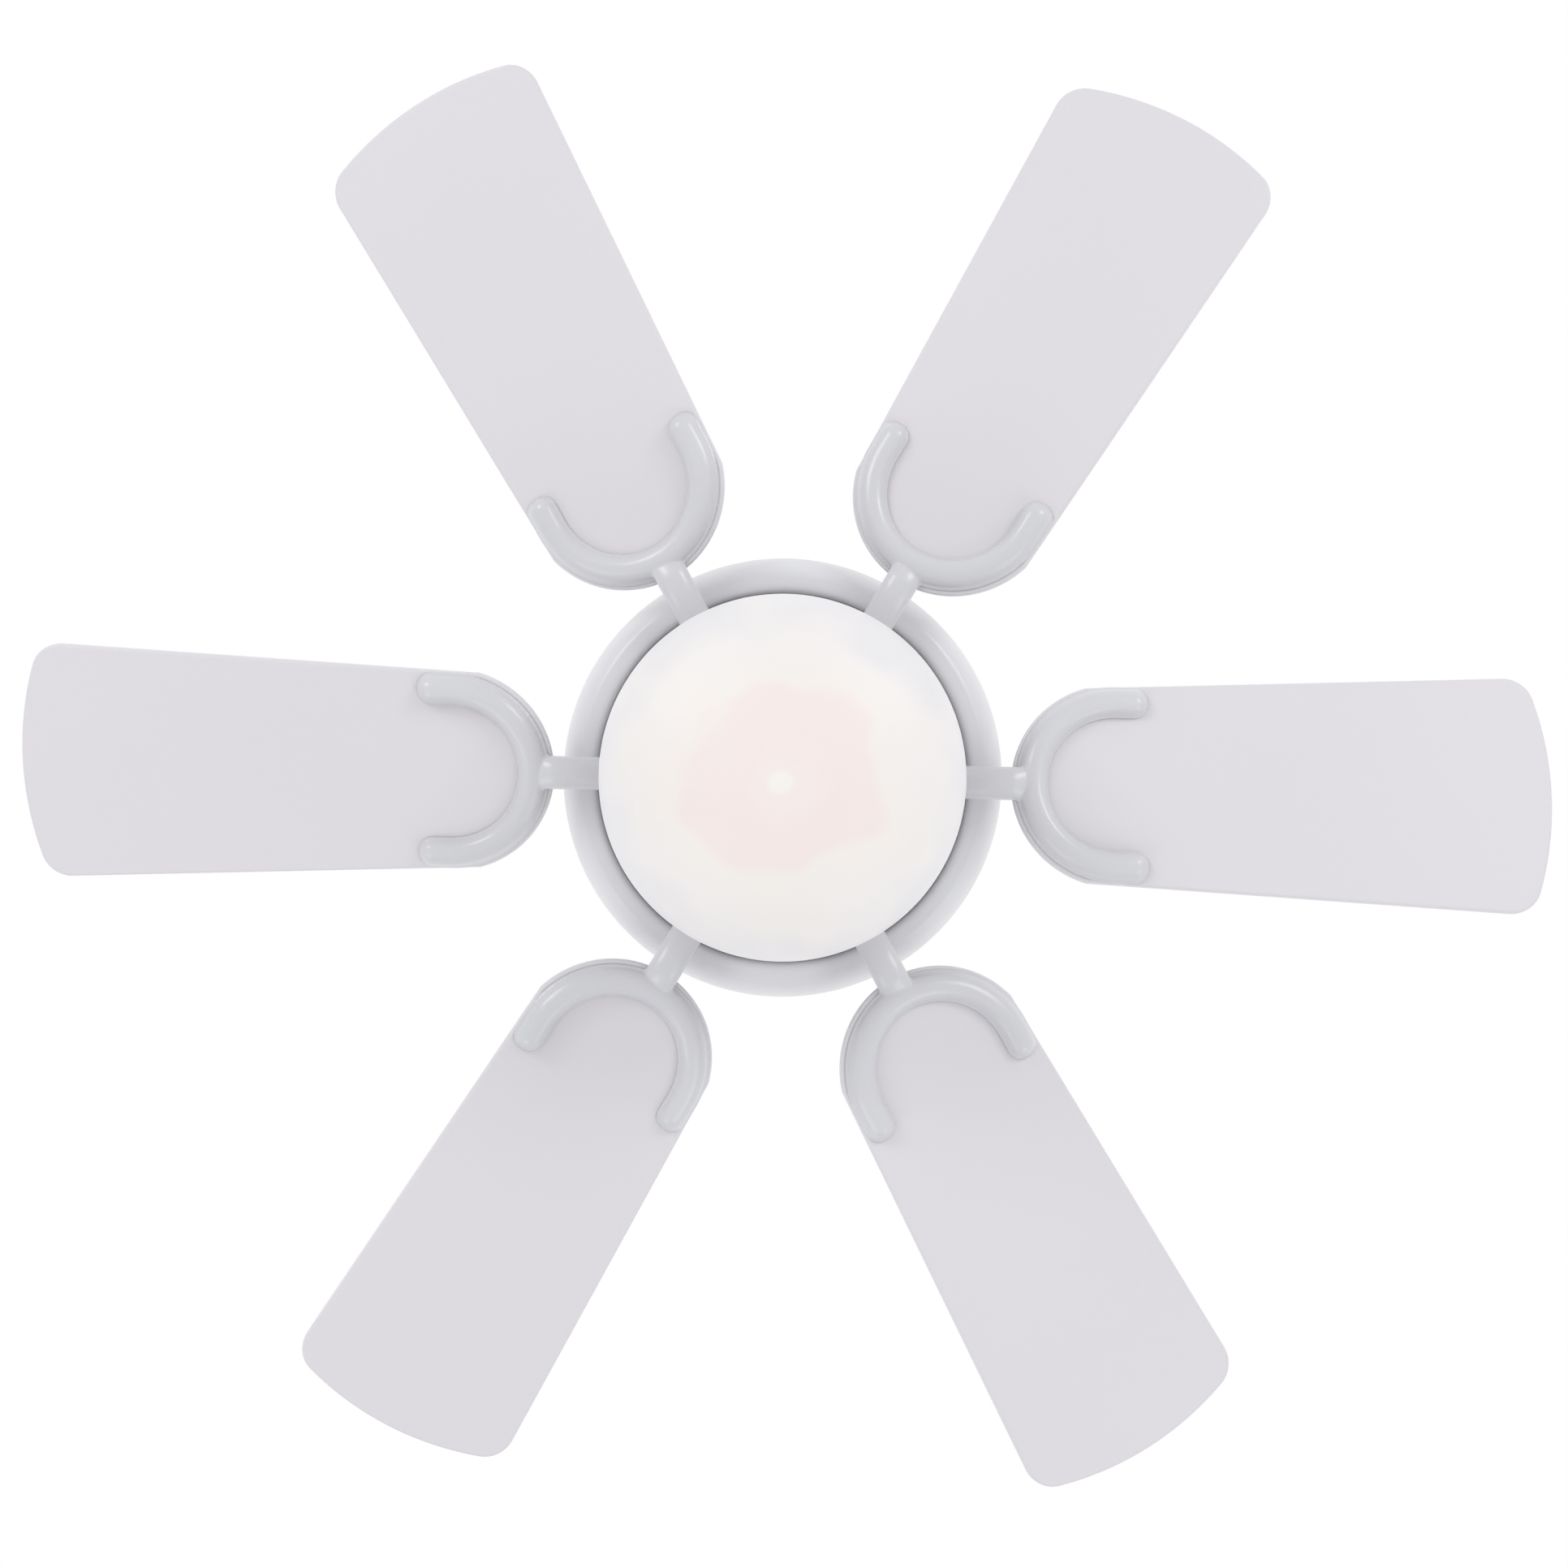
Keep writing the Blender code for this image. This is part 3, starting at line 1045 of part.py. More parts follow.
def make_glass(twist):
    """Blown opal glass: a straight neck with three bayonet lugs, a flare, and a shallow round bowl."""
    neck_low = NECK_TOP - NECK_LENGTH
    widest = neck_low - GLASS_SHOULDER
    neck = [(NECK_RADIUS, NECK_TOP), (NECK_RADIUS, neck_low)]
    flare = arc((NECK_RADIUS, widest), (GLASS_RADIUS - NECK_RADIUS, GLASS_SHOULDER), pi / 2, 0, 3)[1:]
    bowl = arc((0, widest), (GLASS_RADIUS, widest - GLASS_BOTTOM), 0, -pi / 2, 6)[1:]
    shade = turned("glass_shade", neck + flare + bowl, LARGE, closed=False, wall=GLASS_WALL)
    for index in range(LUGS):
        middle = pi / 2 + index * 2 * pi / LUGS
        lug = ring_sector("lug", NECK_RADIUS - GLASS_WALL / 2, NECK_RADIUS + LUG_REACH,
                          LUG_BOTTOM + LUG_HEIGHT, LUG_HEIGHT, middle, LUG_HALF_ANGLE)
        join(shade, lug)
    finish(shade, OPAL_GLASS)
    hang(shade, twist)


# ---------------------------------------------------------------- assembly

hanging_frame = pivot("hanging_frame_pivot", BALL_Z)
rotor_pivot = pivot("rotor_pivot", MOTOR_BOTTOM)
glass_pivot = pivot("glass_pivot", NECK_TOP)

make_bracket()
make_canopy()
make_ball_and_rod(hanging_frame)
make_coupler(hanging_frame)
make_shaft(hanging_frame)
make_stator(hanging_frame)
make_bearings(hanging_frame)
make_rotor(rotor_pivot)
make_housing(hanging_frame)
make_irons(rotor_pivot)
make_blades(rotor_pivot)
switch_front = make_switch_housing(hanging_frame)
make_slider(switch_front, hanging_frame)
make_fitter(hanging_frame)
make_bulb(hanging_frame)
make_glass(glass_pivot)
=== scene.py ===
from math import acos, atan2, cos, pi, radians, sin, sqrt, tan

import bmesh
import bpy
from mathutils import Matrix, Vector


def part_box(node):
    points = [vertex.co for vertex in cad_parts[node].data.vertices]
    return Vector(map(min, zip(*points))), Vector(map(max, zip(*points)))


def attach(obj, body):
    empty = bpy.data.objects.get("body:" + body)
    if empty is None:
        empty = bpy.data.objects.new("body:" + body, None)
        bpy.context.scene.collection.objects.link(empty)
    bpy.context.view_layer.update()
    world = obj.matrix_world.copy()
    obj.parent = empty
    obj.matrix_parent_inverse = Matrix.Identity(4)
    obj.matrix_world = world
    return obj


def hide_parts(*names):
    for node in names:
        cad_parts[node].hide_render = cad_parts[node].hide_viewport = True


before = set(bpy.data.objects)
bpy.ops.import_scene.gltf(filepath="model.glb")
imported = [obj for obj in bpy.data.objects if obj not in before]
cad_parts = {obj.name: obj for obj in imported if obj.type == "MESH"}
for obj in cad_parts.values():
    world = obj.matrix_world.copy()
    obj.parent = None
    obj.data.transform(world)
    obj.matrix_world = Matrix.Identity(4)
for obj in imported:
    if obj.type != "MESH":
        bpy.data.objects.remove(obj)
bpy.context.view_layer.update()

# ------------------------------------------------------------------ viewpoint
# The fan is seen from the floor, straight up its own axis. The camera leans by a degree and a half,
# so that the blades on one side look slightly longer, and its shift brings the fan back to the middle.

EYE_DISTANCE = 1.1
LEAN_X, LEAN_Y = -0.0196, 0.0171
LENS, SENSOR = 50.6, 36.0
SHIFT_X, SHIFT_Y = 0.0287, 0.0202


def placed(name, data):
    """Puts a mesh, a lamp or a camera in the scene as an object."""
    obj = bpy.data.objects.new(name, data)
    bpy.context.scene.collection.objects.link(obj)
    return obj


blade_low, blade_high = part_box("blade_1")
BLADE_LEVEL = (blade_low.z + blade_high.z) / 2
lens = bpy.data.cameras.new("view from below")
lens.lens, lens.sensor_width = LENS, SENSOR
lens.shift_x, lens.shift_y = SHIFT_X, SHIFT_Y
lens.clip_start, lens.clip_end = 0.02, 60.0
camera = placed("view from below", lens)
forward = Vector((LEAN_X, LEAN_Y, 1)).normalized()
right = (Vector((1, 0, 0)) - forward * forward.x).normalized()
turn = Matrix((right, (-forward).cross(right), -forward)).transposed().to_4x4()
camera.matrix_world = Matrix.Translation((0, 0, BLADE_LEVEL - EYE_DISTANCE)) @ turn
bpy.context.scene.camera = camera

# ------------------------------------------------------------------ room
# A plain pale floor well below the fan, a bright even room around it, and four soft lamps low at
# the sides. The room is whitest overhead and a little greyer towards the floor.

FLOOR_DROP, FLOOR_SIZE = 2.3, 60.0
FLOOR_DARK, FLOOR_LIGHT = (0.62, 0.625, 0.645, 1), (0.66, 0.665, 0.68, 1)
ROOM_TONES = ((0.25, (0.70, 0.71, 0.74)), (0.52, (0.96, 0.965, 0.98)), (0.85, (1.0, 1.0, 1.0)))


def new_node(tree, kind, **settings):
    """Adds a node. A setting with a capital letter is an input socket, any other a property."""
    node = tree.nodes.new(kind)
    for label, value in settings.items():
        if label[0].isupper():
            node.inputs[label.replace("_", " ")].default_value = value
        else:
            setattr(node, label, value)
    return node


def wire(tree, *joints):
    """Joins nodes. A joint is node, output, node, input; a node may be given by its name."""
    for giver, output, taker, socket in joints:
        giver, taker = (tree.nodes[n] if isinstance(n, str) else n for n in (giver, taker))
        tree.links.new(giver.outputs[output], taker.inputs[socket])


def set_stops(node, stops):
    """Gives a colour ramp its stops, each a place and a colour."""
    elements = node.color_ramp.elements
    for end in (0, -1):
        place, colour = stops[end]
        elements[end].position, elements[end].color = place, (*colour, 1)
    for place, colour in stops[1:-1]:
        elements.new(place).color = (*colour, 1)


def shaped(name, shape):
    """Puts a finished bmesh in the scene."""
    mesh = bpy.data.meshes.new(name)
    shape.to_mesh(mesh)
    shape.free()
    return placed(name, mesh)


bpy.context.scene.view_settings.view_transform = "Standard"
room = bpy.data.worlds.new("bright room")
bpy.context.scene.world = room
room.use_nodes = True
tree = room.node_tree
tree.nodes.clear()
where, split = new_node(tree, "ShaderNodeTexCoord"), new_node(tree, "ShaderNodeSeparateXYZ")
height = new_node(tree, "ShaderNodeMapRange", From_Min=-1.0, From_Max=1.0)
tone, glow = new_node(tree, "ShaderNodeValToRGB"), new_node(tree, "ShaderNodeBackground")
set_stops(tone, ROOM_TONES)
wire(tree, (where, "Generated", split, 0), (split, "Z", height, "Value"), (height, "Result", tone, "Fac"),
     (tone, "Color", glow, "Color"), (glow, 0, new_node(tree, "ShaderNodeOutputWorld"), "Surface"))

shape = bmesh.new()
bmesh.ops.create_grid(shape, x_segments=8, y_segments=8, size=FLOOR_SIZE / 2)
bmesh.ops.translate(shape, vec=(0, 0, BLADE_LEVEL - FLOOR_DROP), verts=shape.verts)
floor = shaped("floor", shape)
paint = bpy.data.materials.new("pale floor")
paint.use_nodes = True
tree = paint.node_tree
spot, cloud = new_node(tree, "ShaderNodeTexCoord"), new_node(tree, "ShaderNodeTexNoise", Scale=1.5)
wash = new_node(tree, "ShaderNodeMix", data_type="RGBA", A=FLOOR_DARK, B=FLOOR_LIGHT)
wire(tree, (spot, "Object", cloud, "Vector"), (cloud, "Fac", wash, "Factor"),
     (wash, "Result", "Principled BSDF", "Base Color"))
tree.nodes["Principled BSDF"].inputs["Roughness"].default_value = 0.8
floor.data.materials.append(paint)


def soft_lamp(name, place, size, watts):
    """A square lamp that faces the fan and isn't seen itself."""
    light = bpy.data.lights.new(name, "AREA")
    light.shape, light.size, light.energy = "SQUARE", size, watts
    lamp = placed(name, light)
    way = Vector((0, 0, BLADE_LEVEL)) - Vector(place)
    lamp.matrix_world = Matrix.Translation(place) @ way.to_track_quat("-Z", "Y").to_matrix().to_4x4()
    lamp.visible_camera = False


soft_lamp("lamp back left", (-1.15, -1.0, BLADE_LEVEL - 1.1), 0.6, 5.5)
soft_lamp("lamp back right", (1.2, -0.95, BLADE_LEVEL - 1.1), 0.6, 5.5)
soft_lamp("lamp front left", (-1.1, 1.15, BLADE_LEVEL - 1.2), 0.9, 3.5)
soft_lamp("lamp front right", (1.1, 1.15, BLADE_LEVEL - 1.2), 0.9, 3.5)

# ------------------------------------------------------------------ hanger bracket
# Folded from 2 mm galvanised strip: a strap against the ceiling, two tabs for the canopy screws and
# a hanger with a slotted seat for the ball. Sheared edges are deburred, the zinc shows its spangle.

MM = 0.001


def new_group(name, kind, inputs, outputs):
    """A node group with named sockets, and its input and output nodes."""
    tree = bpy.data.node_groups.new(name, kind)
    for way, sockets in (("INPUT", inputs), ("OUTPUT", outputs)):
        for label, socket in sockets.items():
            tree.interface.new_socket(label, in_out=way, socket_type=f"NodeSocket{socket}")
    return tree, new_node(tree, "NodeGroupInput"), new_node(tree, "NodeGroupOutput")


def uneven_group():
    """Slow patches and fine grain that no real finish is without, as a 0-1 shade and a height."""
    tree, given, result = new_group(
        "uneven finish", "ShaderNodeTree",
        {"Vector": "Vector", "Patches": "Float", "Grain": "Float", "Patch share": "Float"},
        {"Shade": "Float", "Height": "Float"})
    patches = new_node(tree, "ShaderNodeTexNoise", Detail=3.0)
    grain = new_node(tree, "ShaderNodeTexNoise", Detail=2.0)
    blend = new_node(tree, "ShaderNodeMix")
    wire(tree, (given, "Vector", patches, "Vector"), (given, "Patches", patches, "Scale"),
         (given, "Vector", grain, "Vector"), (given, "Grain", grain, "Scale"),
         (given, "Patch share", blend, "Factor"), (grain, "Fac", blend, "A"), (patches, "Fac", blend, "B"),
         (blend, "Result", result, "Shade"), (grain, "Fac", result, "Height"))
    return tree


def dust_group():
    """Where dust settles: faces that look up, in soft patches."""
    tree, given, result = new_group(
        "settled dust", "ShaderNodeTree", {"Vector": "Vector", "Amount": "Float"}, {"Mask": "Float"})
    face, split = new_node(tree, "ShaderNodeNewGeometry"), new_node(tree, "ShaderNodeSeparateXYZ")
    facing = new_node(tree, "ShaderNodeMapRange", From_Min=0.35, From_Max=0.98)
    cloud = new_node(tree, "ShaderNodeTexNoise", Scale=34.0, Detail=5.0)
    both, share = (new_node(tree, "ShaderNodeMath", operation="MULTIPLY") for _ in range(2))
    wire(tree, (face, "Normal", split, 0), (split, "Z", facing, "Value"),
         (given, "Vector", cloud, "Vector"), (facing, "Result", both, 0), (cloud, "Fac", both, 1),
         (both, 0, share, 0), (given, "Amount", share, 1), (share, 0, result, "Mask"))
    return tree


UNEVEN, DUST = uneven_group(), dust_group()
DUST_COLOUR = (0.50, 0.48, 0.45, 1)


def finish_of(name, light, dark, rough, metallic=0.0, patches=20.0, grain=600.0, share=0.6,
              bump=0.1, stretch=(1, 1, 1), dust=0.0, **fixed):
    """A material from two close colours, a range of roughness and the shared unevenness.
    fixed holds what is the same all over, set on the shader's own sockets."""
    material = bpy.data.materials.new(name)
    material.use_nodes = True
    tree = material.node_tree
    shader = tree.nodes["Principled BSDF"]
    where = new_node(tree, "ShaderNodeTexCoord", name="where")
    place = new_node(tree, "ShaderNodeMapping", Scale=stretch)
    uneven = new_node(tree, "ShaderNodeGroup", node_tree=UNEVEN, Patches=patches, Grain=grain,
                      Patch_share=share)
    spread = new_node(tree, "ShaderNodeMapRange", From_Min=0.3, From_Max=0.7)
    colour = new_node(tree, "ShaderNodeMix", name="colour", data_type="RGBA", A=(*dark, 1), B=(*light, 1))
    gloss = new_node(tree, "ShaderNodeMapRange", To_Min=rough[0], To_Max=rough[1])
    relief = new_node(tree, "ShaderNodeBump", name="relief", Strength=bump, Distance=0.1 * MM)
    wire(tree, (where, "Object", place, "Vector"), (place, "Vector", uneven, "Vector"),
         (uneven, "Shade", spread, "Value"), (spread, "Result", colour, "Factor"),
         (uneven, "Shade", gloss, "Value"), (gloss, "Result", shader, "Roughness"),
         (colour, "Result", shader, "Base Color"), (uneven, "Height", relief, "Height"),
         (relief, "Normal", shader, "Normal"))
    if dust:
        fall = new_node(tree, "ShaderNodeGroup", node_tree=DUST, Amount=dust)
        grey = new_node(tree, "ShaderNodeMix", data_type="RGBA", B=DUST_COLOUR)
        wire(tree, (where, "Object", fall, "Vector"), (fall, "Mask", grey, "Factor"),
             (colour, "Result", grey, "A"), (grey, "Result", shader, "Base Color"))
    shader.inputs["Metallic"].default_value = metallic
    for socket, value in fixed.items():
        shader.inputs[socket.replace("_", " ")].default_value = value
    return material


def coat(mesh, material):
    """Gives a mesh its one finish."""
    mesh.materials.clear()
    mesh.materials.append(material)


def fitted(obj, body, slot, *nodes):
    """Puts a finished piece on its body, in place of its CAD solids."""
    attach(obj, body)
    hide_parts(*nodes)


def deburred(name, node, material, width, segments=2):
    """A copy of a CAD solid with its facets joined into whole faces and its edges eased."""
    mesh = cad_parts[node].data.copy()
    mesh.name = name
    shape = bmesh.new()
    shape.from_mesh(mesh)
    bmesh.ops.remove_doubles(shape, verts=shape.verts, dist=1e-6)
    bmesh.ops.dissolve_limit(shape, angle_limit=radians(1), verts=shape.verts, edges=shape.edges)
    bmesh.ops.recalc_face_normals(shape, faces=shape.faces)
    shape.to_mesh(mesh)
    shape.free()
    coat(mesh, material)
    obj = placed(name, mesh)
    ease = obj.modifiers.new("eased edges", "BEVEL")
    ease.width, ease.segments = width, segments
    ease.limit_method, ease.angle_limit = "ANGLE", radians(40)
    mesh.shade_smooth()
    obj.modifiers.new("even shading", "WEIGHTED_NORMAL").keep_sharp = True
    return obj


def hot_dip_zinc():
    """Galvanised steel: crystals a few millimetres across, each of its own grey."""
    material = finish_of("galvanised steel", (0.60, 0.61, 0.63), (0.44, 0.45, 0.47), (0.32, 0.5),
                         metallic=1.0, patches=60, grain=900, bump=0.12)
    tree = material.node_tree
    crystal = new_node(tree, "ShaderNodeTexVoronoi", Scale=170.0, Randomness=1.0)
    tint = new_node(tree, "ShaderNodeRGBToBW")
    grey = new_node(tree, "ShaderNodeMix", data_type="RGBA", blend_type="MULTIPLY", Factor=0.35)
    wire(tree, ("where", "Object", crystal, "Vector"), (crystal, "Color", tint, 0), (tint, 0, grey, "B"),
         ("colour", "Result", grey, "A"), (grey, "Result", "Principled BSDF", "Base Color"))
    return material


zinc = hot_dip_zinc()
bracket = deburred("hanger_bracket_strip", "hanger_bracket", zinc, 0.4 * MM)
fitted(bracket, "ceiling_mount", "zinc_steel", "hanger_bracket")

# ------------------------------------------------------------------ canopy
# Spun from 1.2 mm steel into a bell and sprayed satin white. Its upper rim is rolled, and a turned
# trim ring closes the hole round the rod. Two round-head screws hold it to the bracket's tabs.

STEPS = 128
SHEET = 1.2 * MM
SHEET_EDGE = 0.45 * MM
CANOPY_HOLE, CANOPY_SKIRT, RIM_BEAD = 20 * MM, 14 * MM, 0.9 * MM
TRIM_ROUND, TRIM_BEVEL = 2.2 * MM, 0.8 * MM


def end_tree(tree, given, result, last):
    """Ends a Geometry Nodes tree: copies are made real, and the finish is put on."""
    real, finish = new_node(tree, "GeometryNodeRealizeInstances"), new_node(tree, "GeometryNodeSetMaterial")
    wire(tree, (last, 0, real, 0), (real, 0, finish, "Geometry"), (given, "Finish", finish, "Material"),
         (finish, 0, result, 0))
    return tree


def turning_tree():
    """Turns an outline, a row of (radius, 0, height) points, about Z. Rows of a grid follow the
    outline and its columns go round; the seam and any pole are welded."""
    tree, given, result = new_group(
        "turned piece", "GeometryNodeTree",
        {"Outline": "Geometry", "Points": "Int", "Closed": "Int", "Steps": "Int", "Finish": "Material"},
        {"Piece": "Geometry"})
    join = tree.links.new

    def reckon(kind, first, second=None):
        """One step of arithmetic on sockets or plain numbers."""
        node = new_node(tree, "ShaderNodeMath", operation=kind)
        for socket, value in zip(node.inputs, (first, second)):
            if isinstance(value, (int, float)):
                socket.default_value = value
            elif value is not None:
                join(value, socket)
        return node.outputs[0]

    points, closed, steps = (given.outputs[label] for label in ("Points", "Closed", "Steps"))
    rows, columns = reckon("ADD", points, closed), reckon("ADD", steps, 1)
    grid, index = new_node(tree, "GeometryNodeMeshGrid"), new_node(tree, "GeometryNodeInputIndex").outputs[0]
    join(rows, grid.inputs["Vertices X"])
    join(columns, grid.inputs["Vertices Y"])
    row = reckon("FLOOR", reckon("DIVIDE", reckon("ADD", index, 0.5), columns))
    column = reckon("SUBTRACT", index, reckon("MULTIPLY", row, columns))
    angle = reckon("DIVIDE", reckon("MULTIPLY", column, 2 * pi), steps)
    place = new_node(tree, "GeometryNodeInputPosition")
    sample = new_node(tree, "GeometryNodeSampleIndex", data_type="FLOAT_VECTOR")
    split, build = new_node(tree, "ShaderNodeSeparateXYZ"), new_node(tree, "ShaderNodeCombineXYZ")
    move = new_node(tree, "GeometryNodeSetPosition")
    weld = new_node(tree, "GeometryNodeMergeByDistance", Distance=1e-6)
    join(reckon("MODULO", row, points), sample.inputs["Index"])
    radius = split.outputs["X"]
    join(reckon("MULTIPLY", radius, reckon("COSINE", angle)), build.inputs["X"])
    join(reckon("MULTIPLY", radius, reckon("SINE", angle)), build.inputs["Y"])
    wire(tree, (given, "Outline", sample, "Geometry"), (place, 0, sample, "Value"), (sample, 0, split, 0),
         (split, "Z", build, "Z"), (grid, "Mesh", move, "Geometry"), (build, 0, move, "Position"),
         (move, 0, weld, "Geometry"))
    return end_tree(tree, given, result, weld)


def set_inputs(modifier, **values):
    """Sets a Geometry Nodes modifier's inputs by their sockets' identifiers."""
    for item in modifier.node_group.interface.items_tree:
        if item.in_out == "INPUT" and item.name in values:
            modifier[item.identifier] = values[item.name]


def settled(obj, name, sharp=32):
    """The evaluated object as a plain mesh of one finish: welded, its faces outward, smooth but for
    sharp edges."""
    bpy.context.view_layer.update()
    graph = bpy.context.evaluated_depsgraph_get()
    mesh = bpy.data.meshes.new_from_object(obj.evaluated_get(graph))
    place = obj.matrix_world.copy()
    bpy.data.objects.remove(obj)
    mesh.name = name
    mesh.transform(place)
    finishes = [finish for finish in mesh.materials if finish]
    mesh.materials.clear()
    for finish in finishes[-1:]:
        mesh.materials.append(finish)
    shape = bmesh.new()
    shape.from_mesh(mesh)
    bmesh.ops.remove_doubles(shape, verts=shape.verts, dist=1e-6)
    bmesh.ops.dissolve_degenerate(shape, edges=shape.edges, dist=1e-7)
    bmesh.ops.delete(shape, geom=[e for e in shape.edges if not e.link_faces], context="EDGES")
    bmesh.ops.recalc_face_normals(shape, faces=shape.faces)
    shape.to_mesh(mesh)
    shape.free()
    mesh.shade_smooth()
    mesh.set_sharp_from_angle(angle=radians(sharp))
    return placed(name, mesh)


TURNING = turning_tree()


def turned(name, outline, material, closed=True, steps=STEPS, place=None, sharp=32):
    """A piece turned from an outline of (radius, height) points, and set down at a place."""
    mesh = bpy.data.meshes.new(name)
    mesh.from_pydata([(r, 0, z) for r, z in outline], [], [])
    obj = placed(name, mesh)
    lathe = obj.modifiers.new("lathe", "NODES")
    lathe.node_group = TURNING
    set_inputs(lathe, Points=len(outline), Closed=int(closed), Steps=steps, Finish=material)
    if place:
        obj.matrix_world = place
    return settled(obj, name, sharp)


def arc(centre, radii, start, end, count):
    """Points of an elliptical arc, with both ends."""
    ways = [start + (end - start) * i / count for i in range(count + 1)]
    return [(centre[0] + radii[0] * cos(a), centre[1] + radii[1] * sin(a)) for a in ways]


def eased(points, radius, closed=True, count=4):
    """Rounds an outline's corners. An arc takes at most two fifths of an edge."""
    result = []
    for i, here in enumerate(points):
        here = Vector(here)
        back = Vector(points[i - 1]) - here
        ahead = Vector(points[(i + 1) % len(points)]) - here
        at_end = not closed and i in (0, len(points) - 1)
        if at_end or back.length < 1e-7 or ahead.length < 1e-7 or back.angle(ahead) > radians(160):
            result.append(tuple(here))
            continue
        half = back.angle(ahead) / 2
        reach = min(radius / tan(half), 0.4 * back.length, 0.4 * ahead.length)
        centre = here + (back.normalized() + ahead.normalized()).normalized() * reach / cos(half)
        first = here + back.normalized() * reach - centre
        last = here + ahead.normalized() * reach - centre
        span = pi - 2 * half
        for k in range(count + 1):
            t = k / count
            spoke = (first * sin((1 - t) * span) + last * sin(t * span)) / sin(span)
            result.append(tuple(centre + spoke))
    return result


def walled(path, wall):
    """The closed outline of a sheet whose outer face follows a path down the outside."""
    inner = []
    for i, here in enumerate(path):
        ends = [path[k] for k in (i - 1, i, i + 1) if 0 <= k < len(path)]
        ways = [(Vector(b) - Vector(a)).normalized() for a, b in zip(ends, ends[1:])]
        way = (ways[0] + ways[-1]).normalized()
        side = Vector((way.y, -way.x))
        grow = 1 / max(0.5, way.dot(ways[0]))
        inner.append(tuple(Vector(here) + side * wall * grow))
    return list(path) + inner[::-1]


white = finish_of("satin white paint", (0.780, 0.780, 0.802), (0.750, 0.750, 0.772), (0.30, 0.40),
                  patches=9, grain=1500, share=0.75, bump=0.06, dust=0.16,
                  Coat_Weight=0.25, Coat_Roughness=0.18, Specular_IOR_Level=0.5)

low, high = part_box("canopy")
skirt_level = high.z - CANOPY_SKIRT
bell = arc((CANOPY_HOLE, skirt_level), (high.x - CANOPY_HOLE, skirt_level - low.z), 0, -pi / 2, 40)
outline = eased(walled([(high.x, high.z)] + bell, SHEET), SHEET_EDGE)
fitted(turned("canopy_bell", outline, white), "ceiling_mount", "white_paint", "canopy")
bead = arc((high.x - SHEET / 2, high.z - RIM_BEAD), (RIM_BEAD, RIM_BEAD), 0, 2 * pi, 12)[:-1]
fitted(turned("canopy_rolled_rim", bead, white), "ceiling_mount", "white_paint", "canopy")

low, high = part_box("canopy_trim_ring")
shoulder, round_top = high.x - TRIM_ROUND, low.z + TRIM_ROUND
outline = [(high.x, high.z), (high.x, round_top)]
outline += arc((shoulder, round_top), (TRIM_ROUND, TRIM_ROUND), 0, -pi / 2, 8)[1:]
outline += [(CANOPY_HOLE + TRIM_BEVEL, low.z), (CANOPY_HOLE, low.z + TRIM_BEVEL), (CANOPY_HOLE, high.z)]
trim = turned("canopy_trim", eased(outline, 0.3 * MM), white)
fitted(trim, "ceiling_mount", "white_paint", "canopy_trim_ring")

THREAD_PITCH, THREAD_FLANK, THREAD_DEPTH = 1.4 * MM, 0.45 * MM, 0.25 * MM
UNDER_HEAD = 0.15 * MM


def worked(obj, name, kind, *tools, **settings):
    """Cuts, trims or builds up a finished piece with tool shapes, which are then thrown away."""
    for tool in tools:
        work = obj.modifiers.new("work", "BOOLEAN")
        work.operation, work.object = kind, tool
        for setting, value in settings.items():
            setattr(work, setting, value)
    obj = settled(obj, name)
    for tool in tools:
        bpy.data.objects.remove(tool)
    return obj


def screw_shape(name, head, dome, shank, length, material):
    """A cross-recess screw with its head on Z = 0, its point down -Z and rolled threads."""
    crown = arc((0, 0), (head, dome), pi / 2, 0.12, 6)
    body = [(head * 0.97, -UNDER_HEAD), (shank, -UNDER_HEAD)]
    turns = int(length / THREAD_PITCH)
    for k in range(turns):
        z = -UNDER_HEAD - (k + 1) * length / (turns + 1)
        body += [(shank, z + THREAD_FLANK), (shank + THREAD_DEPTH, z), (shank, z - THREAD_FLANK)]
    body += [(shank, -length + shank * 0.6), (shank * 0.35, -length), (0, -length)]
    screw = turned(name, crown + body, material, closed=False, steps=24)
    recess = bmesh.new()
    for turn in (0, pi / 2):
        grown = bmesh.ops.create_cube(recess, size=1)["verts"]
        bmesh.ops.scale(recess, vec=Vector((head * 1.05, head * 0.24, dome * 1.1)), verts=grown)
        bmesh.ops.translate(recess, vec=(0, 0, dome * 1.02), verts=grown)
        bmesh.ops.rotate(recess, matrix=Matrix.Rotation(turn, 3, "Z"), verts=grown)
    return worked(screw, name, "DIFFERENCE", shaped("recess", recess), use_self=True)


